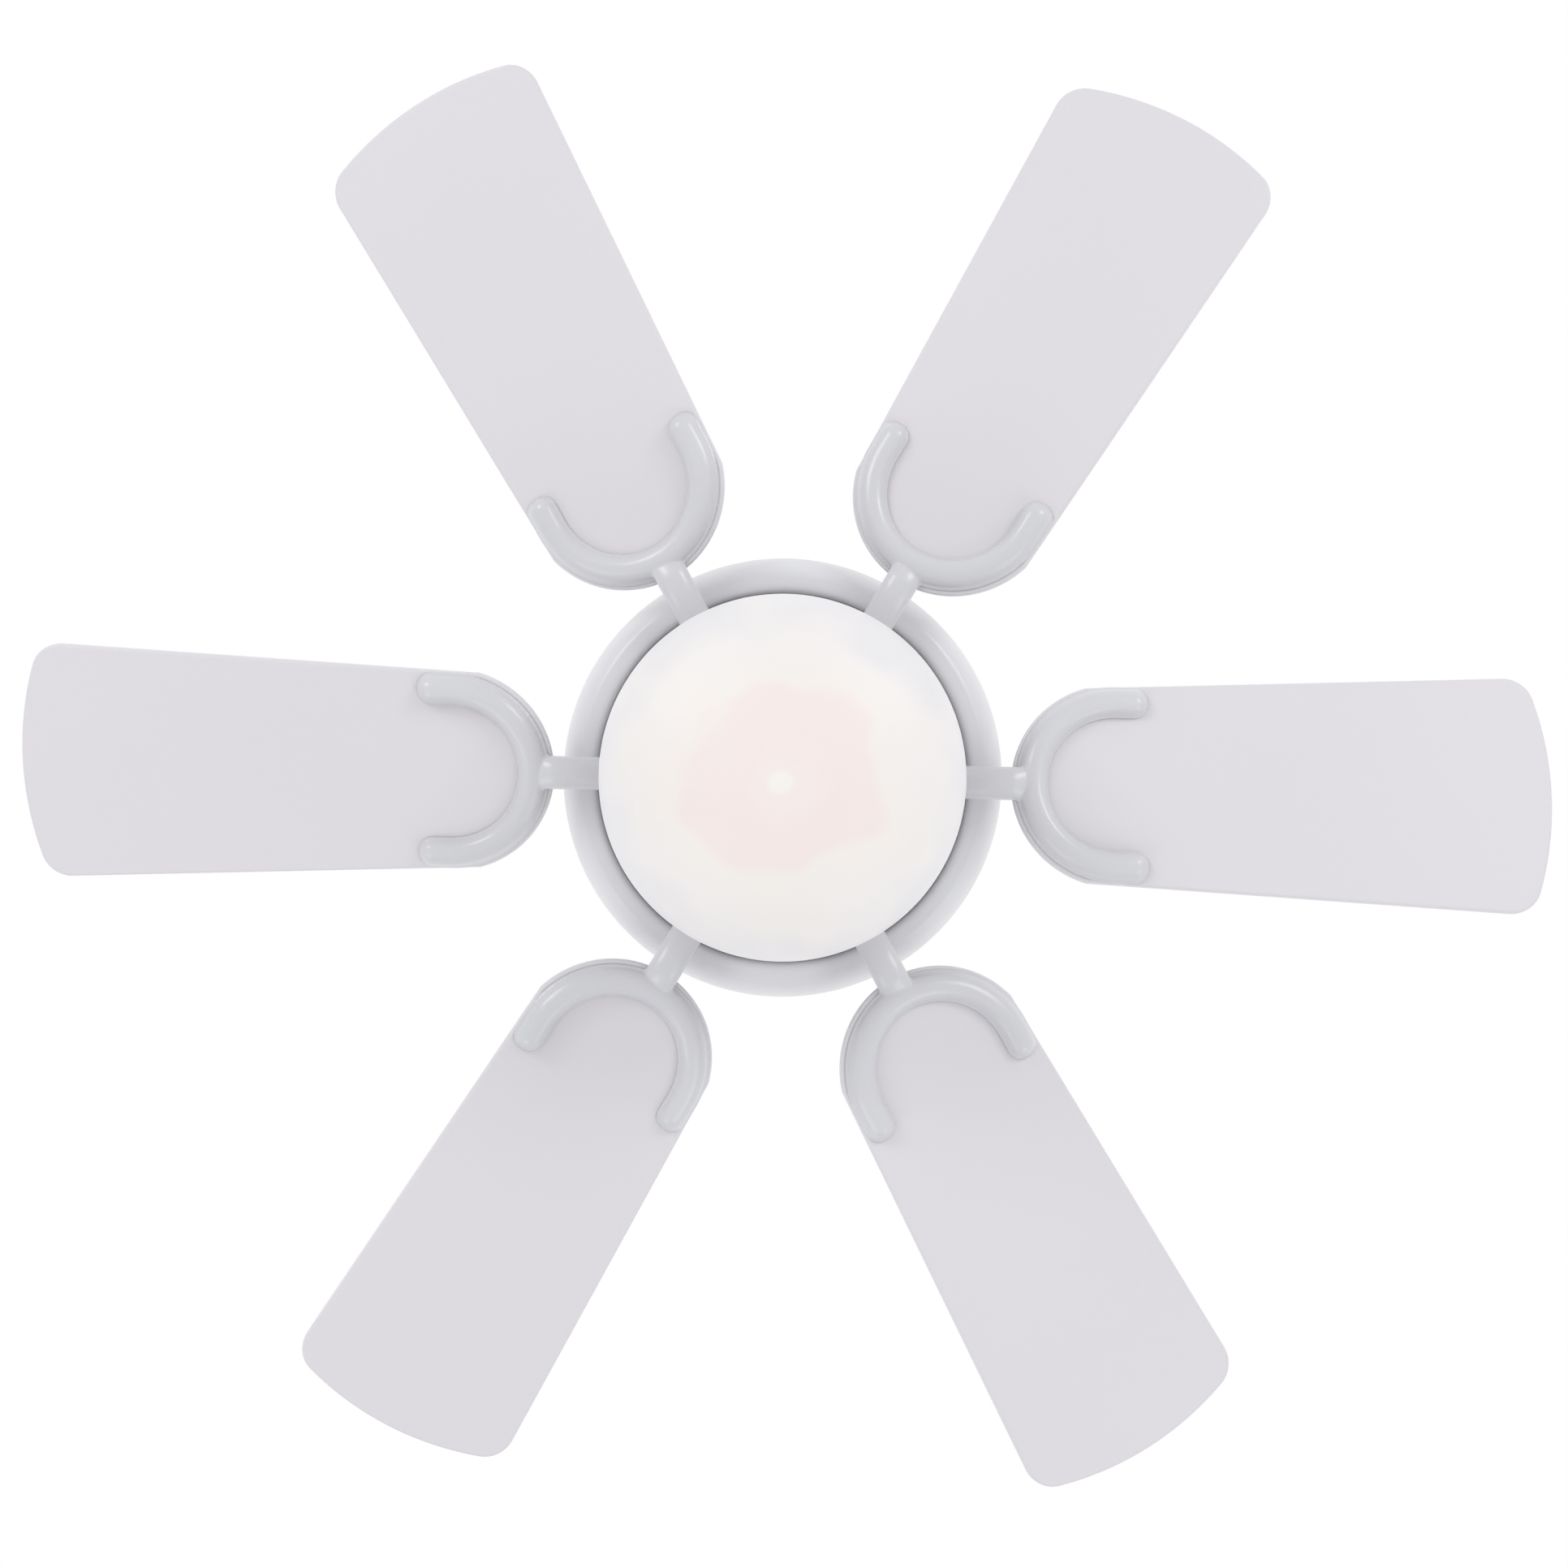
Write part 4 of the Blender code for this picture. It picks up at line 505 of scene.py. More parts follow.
def driving_tree():
    """Puts one screw on each seat point, its head out along the seat's aim, turned at random."""
    tree, given, result = new_group(
        "driven screws", "GeometryNodeTree",
        {"Seats": "Geometry", "Screw": "Object", "Seed": "Int", "Finish": "Material"},
        {"Screws": "Geometry"})
    info = new_node(tree, "GeometryNodeObjectInfo")
    aimed = new_node(tree, "GeometryNodeInputNamedAttribute", data_type="FLOAT_VECTOR", Name="aim")
    point = new_node(tree, "FunctionNodeAlignRotationToVector", axis="Z")
    spin = new_node(tree, "FunctionNodeRandomValue", data_type="FLOAT")
    spin.inputs[3].default_value = pi
    twist = new_node(tree, "FunctionNodeRotateRotation", rotation_space="LOCAL")
    euler, put = new_node(tree, "ShaderNodeCombineXYZ"), new_node(tree, "GeometryNodeInstanceOnPoints")
    wire(tree, (given, "Screw", info, "Object"), (given, "Seed", spin, "Seed"),
         (aimed, "Attribute", point, "Vector"), (spin, 1, euler, "Z"), (point, 0, twist, "Rotation"),
         (euler, 0, twist, "Rotate By"), (given, "Seats", put, "Points"),
         (info, "Geometry", put, "Instance"), (twist, 0, put, "Rotation"))
    return end_tree(tree, given, result, put)


DRIVING = driving_tree()


def driven(name, seats, screw, material, seed):
    """All the like screws of one body as one mesh. seats is a list of (point, aim)."""
    mesh = bpy.data.meshes.new(name)
    mesh.from_pydata([p for p, _ in seats], [], [])
    aims = mesh.attributes.new("aim", "FLOAT_VECTOR", "POINT")
    for item, (_, way) in zip(aims.data, seats):
        item.vector = way
    obj = placed(name, mesh)
    driver = obj.modifiers.new("driver", "NODES")
    driver.node_group = DRIVING
    set_inputs(driver, Screw=screw, Seed=seed, Finish=material)
    return settled(obj, name)


def radial_seats(radius, height, angles):
    """Seats for screws driven towards the fan's axis."""
    ways = [Vector((cos(a), sin(a), 0)) for a in angles]
    return [(way * radius + Vector((0, 0, height)), way) for way in ways]


SCREW_HEAD, SCREW_DOME, SCREW_SHANK = 3.8 * MM, 2.2 * MM, 1.9 * MM
short_screw = screw_shape("short screw", SCREW_HEAD, SCREW_DOME, SCREW_SHANK, 6 * MM, white)
long_screw = screw_shape("long screw", SCREW_HEAD, SCREW_DOME, SCREW_SHANK, 13 * MM, white)
low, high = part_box("canopy_screw_1")
seats = radial_seats(high.x - SCREW_DOME, (low.z + high.z) / 2, (0, pi))
screws = driven("canopy_screws", seats, long_screw, white, 3)
fitted(screws, "ceiling_mount", "white_paint", "canopy_screw_1", "canopy_screw_2")
bpy.data.objects.remove(long_screw)

# ------------------------------------------------------------------ hanger ball and downrod
# A moulded nylon ball sits in the bracket's seat and carries the whole fan. The painted steel rod
# passes through it; a cross pin lies in a groove in the ball's top, so that the rod can't turn.

BALL_RADIUS, BALL_GROOVE_PLAY = 22 * MM, 0.3 * MM
ROD_BORE, ROD_WALL = 9.8 * MM, 2 * MM


def tube(outer, inner, low, high):
    """The outline of a plain tube or ring."""
    return [(outer, high), (outer, low), (inner, low), (inner, high)]


def cutter(low, high):
    """A box between two corners, to cut with."""
    low, high = Vector(low), Vector(high)
    shape = bmesh.new()
    bmesh.ops.create_cube(shape, size=1)
    bmesh.ops.scale(shape, vec=high - low, verts=shape.verts)
    bmesh.ops.translate(shape, vec=(low + high) / 2, verts=shape.verts)
    return shaped("cutter", shape)


nylon = finish_of("natural nylon", (0.80, 0.79, 0.73), (0.74, 0.72, 0.66), (0.35, 0.5), patches=30,
                  grain=1200, bump=0.08, Subsurface_Weight=0.15, Subsurface_Scale=0.004)
low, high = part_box("hanger_ball")
ball_level = (low.z + high.z) / 2
reach = acos((high.z - low.z) / 2 / BALL_RADIUS)
outline = arc((0, ball_level), (BALL_RADIUS, BALL_RADIUS), pi / 2 - reach, reach - pi / 2, 32)
outline += [(ROD_BORE, low.z), (ROD_BORE, high.z)]
ball = turned("hanger_ball_body", eased(outline, 0.6 * MM), nylon)
low_pin, high_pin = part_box("ball_pin")
pin_level, pin_radius = (low_pin.z + high_pin.z) / 2, (high_pin.z - low_pin.z) / 2
groove = pin_radius + BALL_GROOVE_PLAY
slot = cutter((-30 * MM, -groove, pin_level - groove), (30 * MM, groove, high.z + 3 * MM))
ball = worked(ball, "hanger_ball_moulding", "DIFFERENCE", slot)
fitted(ball, "hanging_frame", "nylon", "hanger_ball")

low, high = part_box("downrod")
outline = eased(tube(high.x, high.x - ROD_WALL, low.z, high.z), 0.5 * MM)
rod = turned("downrod_tube", outline, white, steps=96)
fitted(rod, "hanging_frame", "white_paint", "downrod")

steel = finish_of("bright turned steel", (0.66, 0.665, 0.68), (0.55, 0.555, 0.57), (0.2, 0.34),
                  metallic=1.0, patches=40, grain=700, share=0.3, bump=0.15, stretch=(0.35, 0.35, 3))


def pin_along(name, node, axis, radius, chamfer=0.5):
    """A plain round steel pin with chamfered ends, as long as its CAD solid, along X or Y."""
    low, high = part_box(node)
    middle, length = (low + high) / 2, (high - low)["XY".index(axis)]
    edge, end = chamfer * MM, length / 2
    outline = [(0, end), (radius - edge, end), (radius, end - edge), (radius, edge - end),
               (radius - edge, -end), (0, -end)]
    place = Matrix.Translation(middle) @ Matrix.Rotation(pi / 2, 4, "Y" if axis == "X" else "X")
    return turned(name, outline, steel, closed=False, steps=48, place=place)


cross_pin = pin_along("ball_cross_pin", "ball_pin", "X", pin_radius)
fitted(cross_pin, "hanging_frame", "bright_steel", "ball_pin")

# ------------------------------------------------------------------ coupler and its cover
# A die-cast zinc coupler takes the rod's end and grips the motor shaft. A clevis pin with a hairpin
# holds the rod, two set screws stop its rattle, and a spun white cover slides down over the lot.

COUPLER_NECK, COUPLER_TAIL, COUPLER_FLOOR = 14.8 * MM, 12.0 * MM, -102.03 * MM
FLANGE_TOP, FLANGE_LOW = -106.53 * MM, -110.53 * MM
SHAFT_BORE = 6.3 * MM
CLEVIS_HEAD, CLEVIS_HEAD_HEIGHT, CLEVIS_RADIUS, CLEVIS_TIP = 4.5 * MM, 2.0 * MM, 3 * MM, 2.2 * MM
COVER_THROAT = 10.5 * MM

cast_zinc = finish_of("die-cast zinc", (0.58, 0.585, 0.60), (0.48, 0.485, 0.50), (0.4, 0.55),
                      metallic=1.0, patches=26, grain=420, bump=0.3)
low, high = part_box("motor_coupler")
outline = [(COUPLER_NECK, high.z), (COUPLER_NECK, FLANGE_TOP), (high.x, FLANGE_TOP), (high.x, FLANGE_LOW),
           (COUPLER_TAIL, FLANGE_LOW), (COUPLER_TAIL, low.z), (SHAFT_BORE, low.z),
           (SHAFT_BORE, COUPLER_FLOOR), (ROD_BORE, COUPLER_FLOOR), (ROD_BORE, high.z)]
coupler = turned("motor_coupler_casting", eased(outline, 1.0 * MM), cast_zinc, steps=96)
fitted(coupler, "hanging_frame", "zinc_steel", "motor_coupler")

for node in ("set_screw_1", "set_screw_2"):
    grub = pin_along(f"coupler_{node}", node, "Y", 2.5 * MM, 0.4)
    fitted(grub, "hanging_frame", "bright_steel", node)

low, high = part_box("clevis_pin")
length = high.x - low.x - CLEVIS_HEAD_HEIGHT
outline = [(0, CLEVIS_HEAD_HEIGHT), (CLEVIS_HEAD, CLEVIS_HEAD_HEIGHT), (CLEVIS_HEAD, 0), (CLEVIS_RADIUS, 0),
           (CLEVIS_RADIUS, 0.8 * MM - length), (CLEVIS_TIP, -length), (0, -length)]
place = Matrix.Translation((low.x + CLEVIS_HEAD_HEIGHT, 0, (low.z + high.z) / 2))
place = place @ Matrix.Rotation(-pi / 2, 4, "Y")
outline = eased(outline, 0.35 * MM, closed=False)
clevis = turned("coupler_clevis_pin", outline, steel, closed=False, steps=48, place=place)
fitted(clevis, "hanging_frame", "bright_steel", "clevis_pin")
hairpin = deburred("coupler_hairpin", "cotter_pin", steel, 0.1 * MM)
fitted(hairpin, "hanging_frame", "bright_steel", "cotter_pin")

low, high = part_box("coupling_cover")
foot, drop = high.x, high.z - low.z
shoulder = arc((COVER_THROAT + 3 * MM, high.z - 6 * MM), (6.5 * MM, 6 * MM), pi / 2, 0.25, 10)
waist = foot + 2 * MM
bell = arc((waist, high.z - drop * 0.36), (waist - shoulder[-1][0], drop * 0.56), pi, pi * 1.42, 14)
path = [(COVER_THROAT, high.z)] + shoulder + bell + [(foot, low.z + 2.0 * MM), (foot, low.z)]
cover = turned("coupling_cover_bell", eased(walled(path, SHEET), 0.4 * MM), white)
fitted(cover, "hanging_frame", "white_paint", "coupling_cover")

# ------------------------------------------------------------------ motor
# The shaft stands still and carries the laminated stator with its copper windings. Two ball
# bearings let the outer rotor turn round it: cast bells above and below with a laminated ring between.

SHAFT_STEP, SHAFT_END, SHAFT_HOLE = -231.93 * MM, 5 * MM, 3.4 * MM
BEARING_GROOVE = 0.8 * MM
MOTOR_TOP = -145.53 * MM
BELL_POCKET, BELL_HUB, BELL_LIP, BELL_GRIP, RING_BORE = 13.0 * MM, 17.0 * MM, 9.0 * MM, 72.1 * MM, 59.8 * MM
LIP_STEP, HUB_HEIGHT = 0.3 * MM, 9.5 * MM

low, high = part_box("motor_shaft")
outline = [(high.x, high.z), (high.x, SHAFT_STEP), (SHAFT_END, SHAFT_STEP), (SHAFT_END, low.z),
           (SHAFT_HOLE, low.z), (SHAFT_HOLE, high.z)]
shaft = turned("motor_shaft_tube", eased(outline, 0.4 * MM), steel, steps=64)
fitted(shaft, "hanging_frame", "bright_steel", "motor_shaft")


def laminations():
    """Stacked electrical steel: half-millimetre sheets, shown as fine ridges in a patchy dark grey."""
    material = finish_of("laminated steel", (0.34, 0.34, 0.36), (0.22, 0.215, 0.22), (0.4, 0.6),
                         metallic=0.9, patches=30, grain=500, bump=0.5)
    tree = material.node_tree
    sheets = new_node(tree, "ShaderNodeTexWave", bands_direction="Z", Scale=320.0)
    wire(tree, ("where", "Object", sheets, "Vector"), (sheets, "Fac", "relief", "Height"))
    return material


def winding_wire():
    """Enamelled copper wire, laid side by side round the motor."""
    material = finish_of("enamelled copper", (0.72, 0.33, 0.14), (0.55, 0.21, 0.08), (0.25, 0.4),
                         metallic=0.85, patches=50, grain=900, bump=0.7, Coat_Weight=0.5)
    tree = material.node_tree
    strands = new_node(tree, "ShaderNodeTexWave", wave_type="RINGS", rings_direction="Z",
                       Scale=300.0, Distortion=1.5)
    wire(tree, ("where", "Object", strands, "Vector"), (strands, "Fac", "relief", "Height"))
    return material


laminated = laminations()
core = deburred("stator_laminations", "stator_core", laminated, 0.25 * MM)
fitted(core, "hanging_frame", "laminations", "stator_core")
coils = deburred("stator_coils", "stator_windings", winding_wire(), 1.2 * MM, 3)
fitted(coils, "hanging_frame", "copper_wire", "stator_windings")

for node in ("bearing_upper", "bearing_lower"):
    low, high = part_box(node)
    third = (high.x - SHAFT_BORE) / 3
    race_in, race_out = SHAFT_BORE + third, SHAFT_BORE + 2 * third
    floor_low, floor_high = low.z + BEARING_GROOVE, high.z - BEARING_GROOVE
    outline = [(high.x, high.z), (high.x, low.z), (race_out, low.z), (race_out, floor_low),
               (race_in, floor_low), (race_in, low.z), (SHAFT_BORE, low.z), (SHAFT_BORE, high.z),
               (race_in, high.z), (race_in, floor_high), (race_out, floor_high), (race_out, high.z)]
    bearing = turned(f"{node}_rings", eased(outline, 0.4 * MM), steel, steps=96)
    fitted(bearing, "hanging_frame", "bright_steel", node)

aluminium = finish_of("sand-cast aluminium", (0.70, 0.705, 0.715), (0.60, 0.605, 0.62), (0.42, 0.58),
                      metallic=1.0, patches=22, grain=380, bump=0.35)
low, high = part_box("rotor_upper_bell")
edge, ceiling = high.x, MOTOR_TOP - 3 * MM
outline = [(BELL_POCKET, high.z), (BELL_HUB, high.z), (BELL_HUB, MOTOR_TOP), (edge - 2 * MM, MOTOR_TOP),
           (edge, MOTOR_TOP - 2 * MM), (edge, low.z), (BELL_GRIP, low.z), (BELL_GRIP, ceiling),
           (BELL_LIP, ceiling), (BELL_LIP, MOTOR_TOP - LIP_STEP), (BELL_POCKET, MOTOR_TOP - LIP_STEP)]
upper = turned("rotor_bell_upper", eased(outline, 0.9 * MM), aluminium)
fitted(upper, "rotor", "cast_aluminium", "rotor_upper_bell")
low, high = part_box("rotor_lower_bell")
rotor_face, bell_floor = low.z, low.z + 4 * MM
hub_top = bell_floor + HUB_HEIGHT
outline = [(BELL_GRIP, high.z), (edge, high.z), (edge, bell_floor), (high.x, bell_floor), (high.x, low.z),
           (BELL_LIP, low.z), (BELL_LIP, bell_floor - LIP_STEP), (BELL_POCKET, bell_floor - LIP_STEP),
           (BELL_POCKET, hub_top), (BELL_HUB, hub_top), (BELL_HUB, bell_floor), (BELL_GRIP, bell_floor)]
lower = turned("rotor_bell_lower", eased(outline, 0.9 * MM), aluminium)
fitted(lower, "rotor", "cast_aluminium", "rotor_lower_bell")
low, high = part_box("rotor_ring")
ring = turned("rotor_ring_stack", eased(tube(high.x, RING_BORE, low.z, high.z), 0.4 * MM), laminated)
fitted(ring, "rotor", "laminations", "rotor_ring")

# ------------------------------------------------------------------ motor housing
# Two shells pressed from 1.2 mm steel and sprayed satin white. The domed top hangs on the coupler's
# flange; the body slides up inside it, is held by three screws, and ends in a lip rolled in towards
# the motor, which keeps the edge out of reach and stiffens it.

DOME_HOLE, DOME_FLAT, OVERLAP = 16.3 * MM, 40 * MM, 9 * MM
LIP_RADIUS, LIP_ROLL, LIP_RETURN = 101.5 * MM, 8.0 * MM, 6.0 * MM
SHELL_PLAY = 0.3 * MM

low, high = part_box("housing_top")
dome = arc((DOME_FLAT, low.z + OVERLAP), (high.x - DOME_FLAT, high.z - low.z - OVERLAP), pi / 2, 0, 48)
path = [(DOME_HOLE, high.z)] + dome + [(high.x, low.z)]
top = turned("housing_dome", eased(walled(path, SHEET), SHEET_EDGE), white, steps=192)
fitted(top, "hanging_frame", "white_paint", "housing_top")

seam, rim = low.z, high.x
low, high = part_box("housing_body")
inset = rim - SHEET - SHELL_PLAY
step = high.x - inset - SHEET
belly_level = seam - (seam - low.z) * 0.3
path = [(inset, seam + OVERLAP - 1 * MM), (inset, seam - SHELL_PLAY), (rim, seam - SHELL_PLAY - step)]
path += arc((LIP_RADIUS, belly_level), (high.x - LIP_RADIUS, belly_level - low.z), 0, -pi / 2, 40)
path += [(LIP_RADIUS - LIP_ROLL * sin(t), low.z + LIP_RETURN * (1 - cos(t)) ** 1.6)
         for t in (pi / 48 * k for k in range(1, 25))]
body = turned("housing_drum", eased(walled(path, SHEET), 0.4 * MM), white, steps=192)
fitted(body, "hanging_frame", "white_paint", "housing_body")


def thirds(start):
    """Three angles evenly round the axis."""
    return [start + k * 2 * pi / 3 for k in range(3)]


low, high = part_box("housing_screw_1")
seats = radial_seats(rim + 0.1 * MM, (low.z + high.z) / 2, thirds(radians(31.4)))
screws = driven("housing_screws", seats, short_screw, white, 5)
fitted(screws, "hanging_frame", "white_paint", *[f"housing_screw_{k}" for k in (1, 2, 3)])

# ------------------------------------------------------------------ blade irons
# Die-cast in one piece and sprayed white: a foot under the rotor's lower bell, a stem that drops
# clear of the housing's lip, and a C of half-round section on a thin flange, screwed to the blade.

BLADES = 6
FIRST_BLADE, PITCH = radians(1.4), radians(12)
ROOT_ARC, ROOT_CENTRE = 51.5 * MM, 165.5 * MM
BAR_WIDTH, BAR_HEIGHT, BAR_LEAN, BAR_REACH, ARM = 14.0 * MM, 7.5 * MM, 0.9 * MM, 41.6 * MM, 9.0 * MM
FLANGE_OUT, FLANGE_IN, FLANGE_SHEET = 1.15 * MM, 0.9 * MM, 1.5 * MM
STEM_START, STEM_END, STEM_FADE, FADE_LENGTH = 9 * MM, 112 * MM, 114 * MM, 12 * MM
STEM_WIDTH, STEM_HEIGHT = 16.8 * MM, 6.5 * MM
BLADE_FACE = 2.75 * MM
FOOT_TOP = rotor_face - BLADE_LEVEL - 0.3 * MM
FOOT_SHEET, FOOT_OUT, FOOT_LENGTH, FOOT_WIDTH, FOOT_CORNER = 4.0 * MM, 75.1 * MM, 26.0 * MM, 32.0 * MM, 6 * MM
FOOT_SCREW_X, FOOT_SCREW_Y = 62 * MM, 9.5 * MM
VOXEL = 0.62 * MM


def loft(shape, rings):
    """Skins a row of closed rings of equal count and closes both ends."""
    rows = [[shape.verts.new(p) for p in ring] for ring in rings]
    for a, b in zip(rows, rows[1:]):
        for i in range(len(a)):
            j = (i + 1) % len(a)
            shape.faces.new((a[i], a[j], b[j], b[i]))
    shape.faces.new(rows[0][::-1])
    shape.faces.new(rows[-1])


def c_stations(reach):
    """Points round the C from one arm's end to the other: place, way inward and size of section.
    Past each arm's end the section shrinks to a round end."""
    arms = []
    for side in (1, -1):
        inward = Vector((0, -side))
        tip = [sin(k / 6 * 1.45) for k in range(7)]
        arms.append([(Vector((ROOT_CENTRE + ARM + along * reach, side * BAR_REACH)), inward,
                      sqrt(1 - along ** 2)) for along in tip])
        arms.append([(Vector((ROOT_CENTRE + ARM * (1 - k / 5), side * BAR_REACH)), inward, 1)
                     for k in range(1, 5)])
    ways = [Vector((cos(t), sin(t))) for t in (pi / 2 + pi * k / 48 for k in range(49))]
    bend = [(Vector((ROOT_CENTRE, 0)) + way * BAR_REACH, -way, 1) for way in ways]
    return arms[0][::-1] + arms[1] + bend + arms[3][::-1] + arms[2]


def c_rings(section, reach):
    """Rings of a section of (inward, down) points carried round the C on the blade's underside."""
    face = -(BLADE_FACE + 0.3 * MM)
    return [[(*(place + inward * s * size), face - h * size) for s, h in section]
            for place, inward, size in c_stations(reach)]


def half_turn(count=16):
    """Angles of a half circle, with both ends."""
    return [pi * k / count for k in range(count + 1)]


def stem_rings():
    """Rings of the stem, from inside the foot, down in an S and out into the C, where it fades."""
    drop = -BLADE_FACE / cos(PITCH) - STEM_WIDTH / 2 * tan(PITCH) - 0.6 * MM
    a, b = Vector((FOOT_OUT - STEM_START, FOOT_TOP - 0.4 * MM)), Vector((STEM_END, drop))
    bend = [a, a + Vector((17 * MM, 0)), b - Vector((19 * MM, 0)), b]
    path = []
    for k in range(25):
        t = k / 24
        weights = ((1 - t) ** 3, 3 * t * (1 - t) ** 2, 3 * t * t * (1 - t), t ** 3)
        path.append(sum((p * w for p, w in zip(bend, weights)), Vector((0, 0))))
    path += [Vector((STEM_END + k * 2 * MM, drop)) for k in range(1, 8)]
    rings = []
    for i, here in enumerate(path):
        wide = STEM_WIDTH / 2 * (1 + 0.22 * max(0, 1 - i / 7))
        deep = STEM_HEIGHT * (1 - 0.75 * max(0, (here.x - STEM_FADE) / FADE_LENGTH) ** 1.3)
        rings.append([(here.x, -wide * cos(t), here.y - deep * sin(t) ** 0.9) for t in half_turn()])
    return rings


def iron_pattern():
    """One iron for a blade along +X at the blades' own level: lofted parts fused and smoothed."""
    half = BAR_WIDTH / 2
    dome = [(-half * cos(t) + BAR_LEAN * sin(t) ** 2, BAR_HEIGHT * sin(t) ** 0.85) for t in half_turn()]
    flat = [(-half - FLANGE_OUT, 0), (-half - FLANGE_OUT, FLANGE_SHEET), (half + FLANGE_IN, FLANGE_SHEET),
            (half + FLANGE_IN, 0)]
    shape = bmesh.new()
    loft(shape, c_rings(dome, half))
    loft(shape, c_rings(flat, half + 0.7 * MM))
    bmesh.ops.rotate(shape, matrix=Matrix.Rotation(-PITCH, 3, "X"), verts=shape.verts)
    loft(shape, stem_rings())
    rim, corner = [], FOOT_CORNER
    outer, inner, side = FOOT_OUT - corner, FOOT_OUT - FOOT_LENGTH + corner, FOOT_WIDTH / 2 - corner
    for quarter, centre in enumerate(((outer, side), (inner, side), (inner, -side), (outer, -side))):
        start = quarter * pi / 2
        rim += arc(centre, (corner, corner), start, start + pi / 2, 8)
    loft(shape, [[(x, y, FOOT_TOP - d) for x, y in rim] for d in (0, FOOT_SHEET)])
    bmesh.ops.recalc_face_normals(shape, faces=shape.faces)
    obj = shaped("blade iron", shape)
    fuse = obj.modifiers.new("fused casting", "REMESH")
    fuse.mode, fuse.voxel_size = "VOXEL", VOXEL
    soft = obj.modifiers.new("soft corners", "SMOOTH")
    soft.factor, soft.iterations = 0.5, 5
    return settled(obj, "blade iron", 180)


def blade_turn(index, size):
    """The turn about the fan's axis that brings a piece from +X to its own blade."""
    return Matrix.Rotation(FIRST_BLADE + index * pi / 3, size, "Z")


# The irons wear the same white paint as the housing; this copy is made darker as painted shade on their bars.
iron_white_with_painted_shade = finish_of("white paint on castings with painted shade", (0.722, 0.722, 0.744), (0.695, 0.695, 0.716), (0.26, 0.36),
                       patches=14, grain=1100, share=0.7, bump=0.10, dust=0.16,
                       Coat_Weight=0.35, Coat_Roughness=0.15)
pattern = iron_pattern()
coat(pattern.data, iron_white_with_painted_shade)
seats = []
for index in range(BLADES):
    mesh = pattern.data.copy()
    mesh.name = name = f"iron_{index + 1}"
    mesh.transform(Matrix.Translation((0, 0, BLADE_LEVEL)) @ blade_turn(index, 4))
    fitted(placed(name, mesh), "rotor", "white_paint", f"blade_iron_{index + 1}")
    for side in (-1, 1):
        head = Vector((FOOT_SCREW_X, side * FOOT_SCREW_Y, BLADE_LEVEL + FOOT_TOP - FOOT_SHEET))
        seats.append((blade_turn(index, 3) @ head, Vector((0, 0, -1))))
bpy.data.objects.remove(pattern)
fitted(driven("iron_screws", seats, short_screw, steel, 11), "rotor", "bright_steel")

# ------------------------------------------------------------------ blades
# 5.5 mm board, sawn to shape, its edges rounded over and the whole wrapped in a matt white foil with
# a hardly visible grain. Each is pitched twelve degrees and held by three screws from above.

TAPER = radians(2.73)
SHOULDER, TIP, TIP_ARC, CORNER = 151 * MM, 381 * MM, 162 * MM, 15 * MM
BOARD_EDGE = 1.6 * MM
WASHER_RADIUS, WASHER_HOLE, WASHER_SHEET = 5.2 * MM, 2.1 * MM, 0.9 * MM


def blade_outline():
    """Round root, tapering sides, round corners and a shallow tip arc."""
    wide = sqrt(ROOT_ARC ** 2 - (ROOT_CENTRE - SHOULDER) ** 2)
    side = Vector((cos(TAPER), sin(TAPER)))
    inward = Vector((sin(TAPER), -cos(TAPER)))
    hub = Vector((TIP - TIP_ARC, 0))
    start = Vector((SHOULDER, wide)) + CORNER * inward
    offset = start - hub
    along = offset.dot(side)
    reach = sqrt(along ** 2 - offset.length_squared + (TIP_ARC - CORNER) ** 2) - along
    corner = start + reach * side
    tip_angle = atan2((corner - hub).y, (corner - hub).x)
    root_end = pi - atan2(wide, ROOT_CENTRE - SHOULDER)
    upper = arc((ROOT_CENTRE, 0), (ROOT_ARC, ROOT_ARC), pi, root_end, 40)
    upper += arc(corner, (CORNER, CORNER), pi / 2 + TAPER, tip_angle, 14)
    upper += arc(hub, (TIP_ARC, TIP_ARC), tip_angle, 0, 20)[1:]
    return upper + [(u, -v) for u, v in reversed(upper[1:-1])]


def blade_mesh(material):
    """One level blade along +X: flat faces inside a rounded edge, with a map for the foil's grain."""
    outline = [Vector(p) for p in blade_outline()]
    sides = []
    for i, here in enumerate(outline):
        way = (outline[(i + 1) % len(outline)] - outline[i - 1]).normalized()
        sides.append(Vector((-way.y, way.x)))
    if sides[len(sides) // 2].x > 0:
        sides = [-s for s in sides]
    inward = 1 if sides[0].x > 0 else -1
    profile = [(BOARD_EDGE * (1 - sin(t)), BLADE_FACE - BOARD_EDGE * (1 - cos(t)))
               for t in (pi / 2 * k / 6 for k in range(7))]
    profile += [(inset, -z) for inset, z in reversed(profile)]
    shape = bmesh.new()
    loft(shape, [[(*(p + s * inward * inset), z) for p, s in zip(outline, sides)] for inset, z in profile])
    bmesh.ops.remove_doubles(shape, verts=shape.verts, dist=1e-7)
    bmesh.ops.recalc_face_normals(shape, faces=shape.faces)
    grain = shape.loops.layers.uv.new("grain")
    for face in shape.faces:
        face.smooth = len(face.verts) < 8
        for loop in face.loops:
            loop[grain].uv = loop.vert.co.xy
    mesh = bpy.data.meshes.new("blade")
    shape.to_mesh(mesh)
    shape.free()
    mesh.materials.append(material)
    return mesh


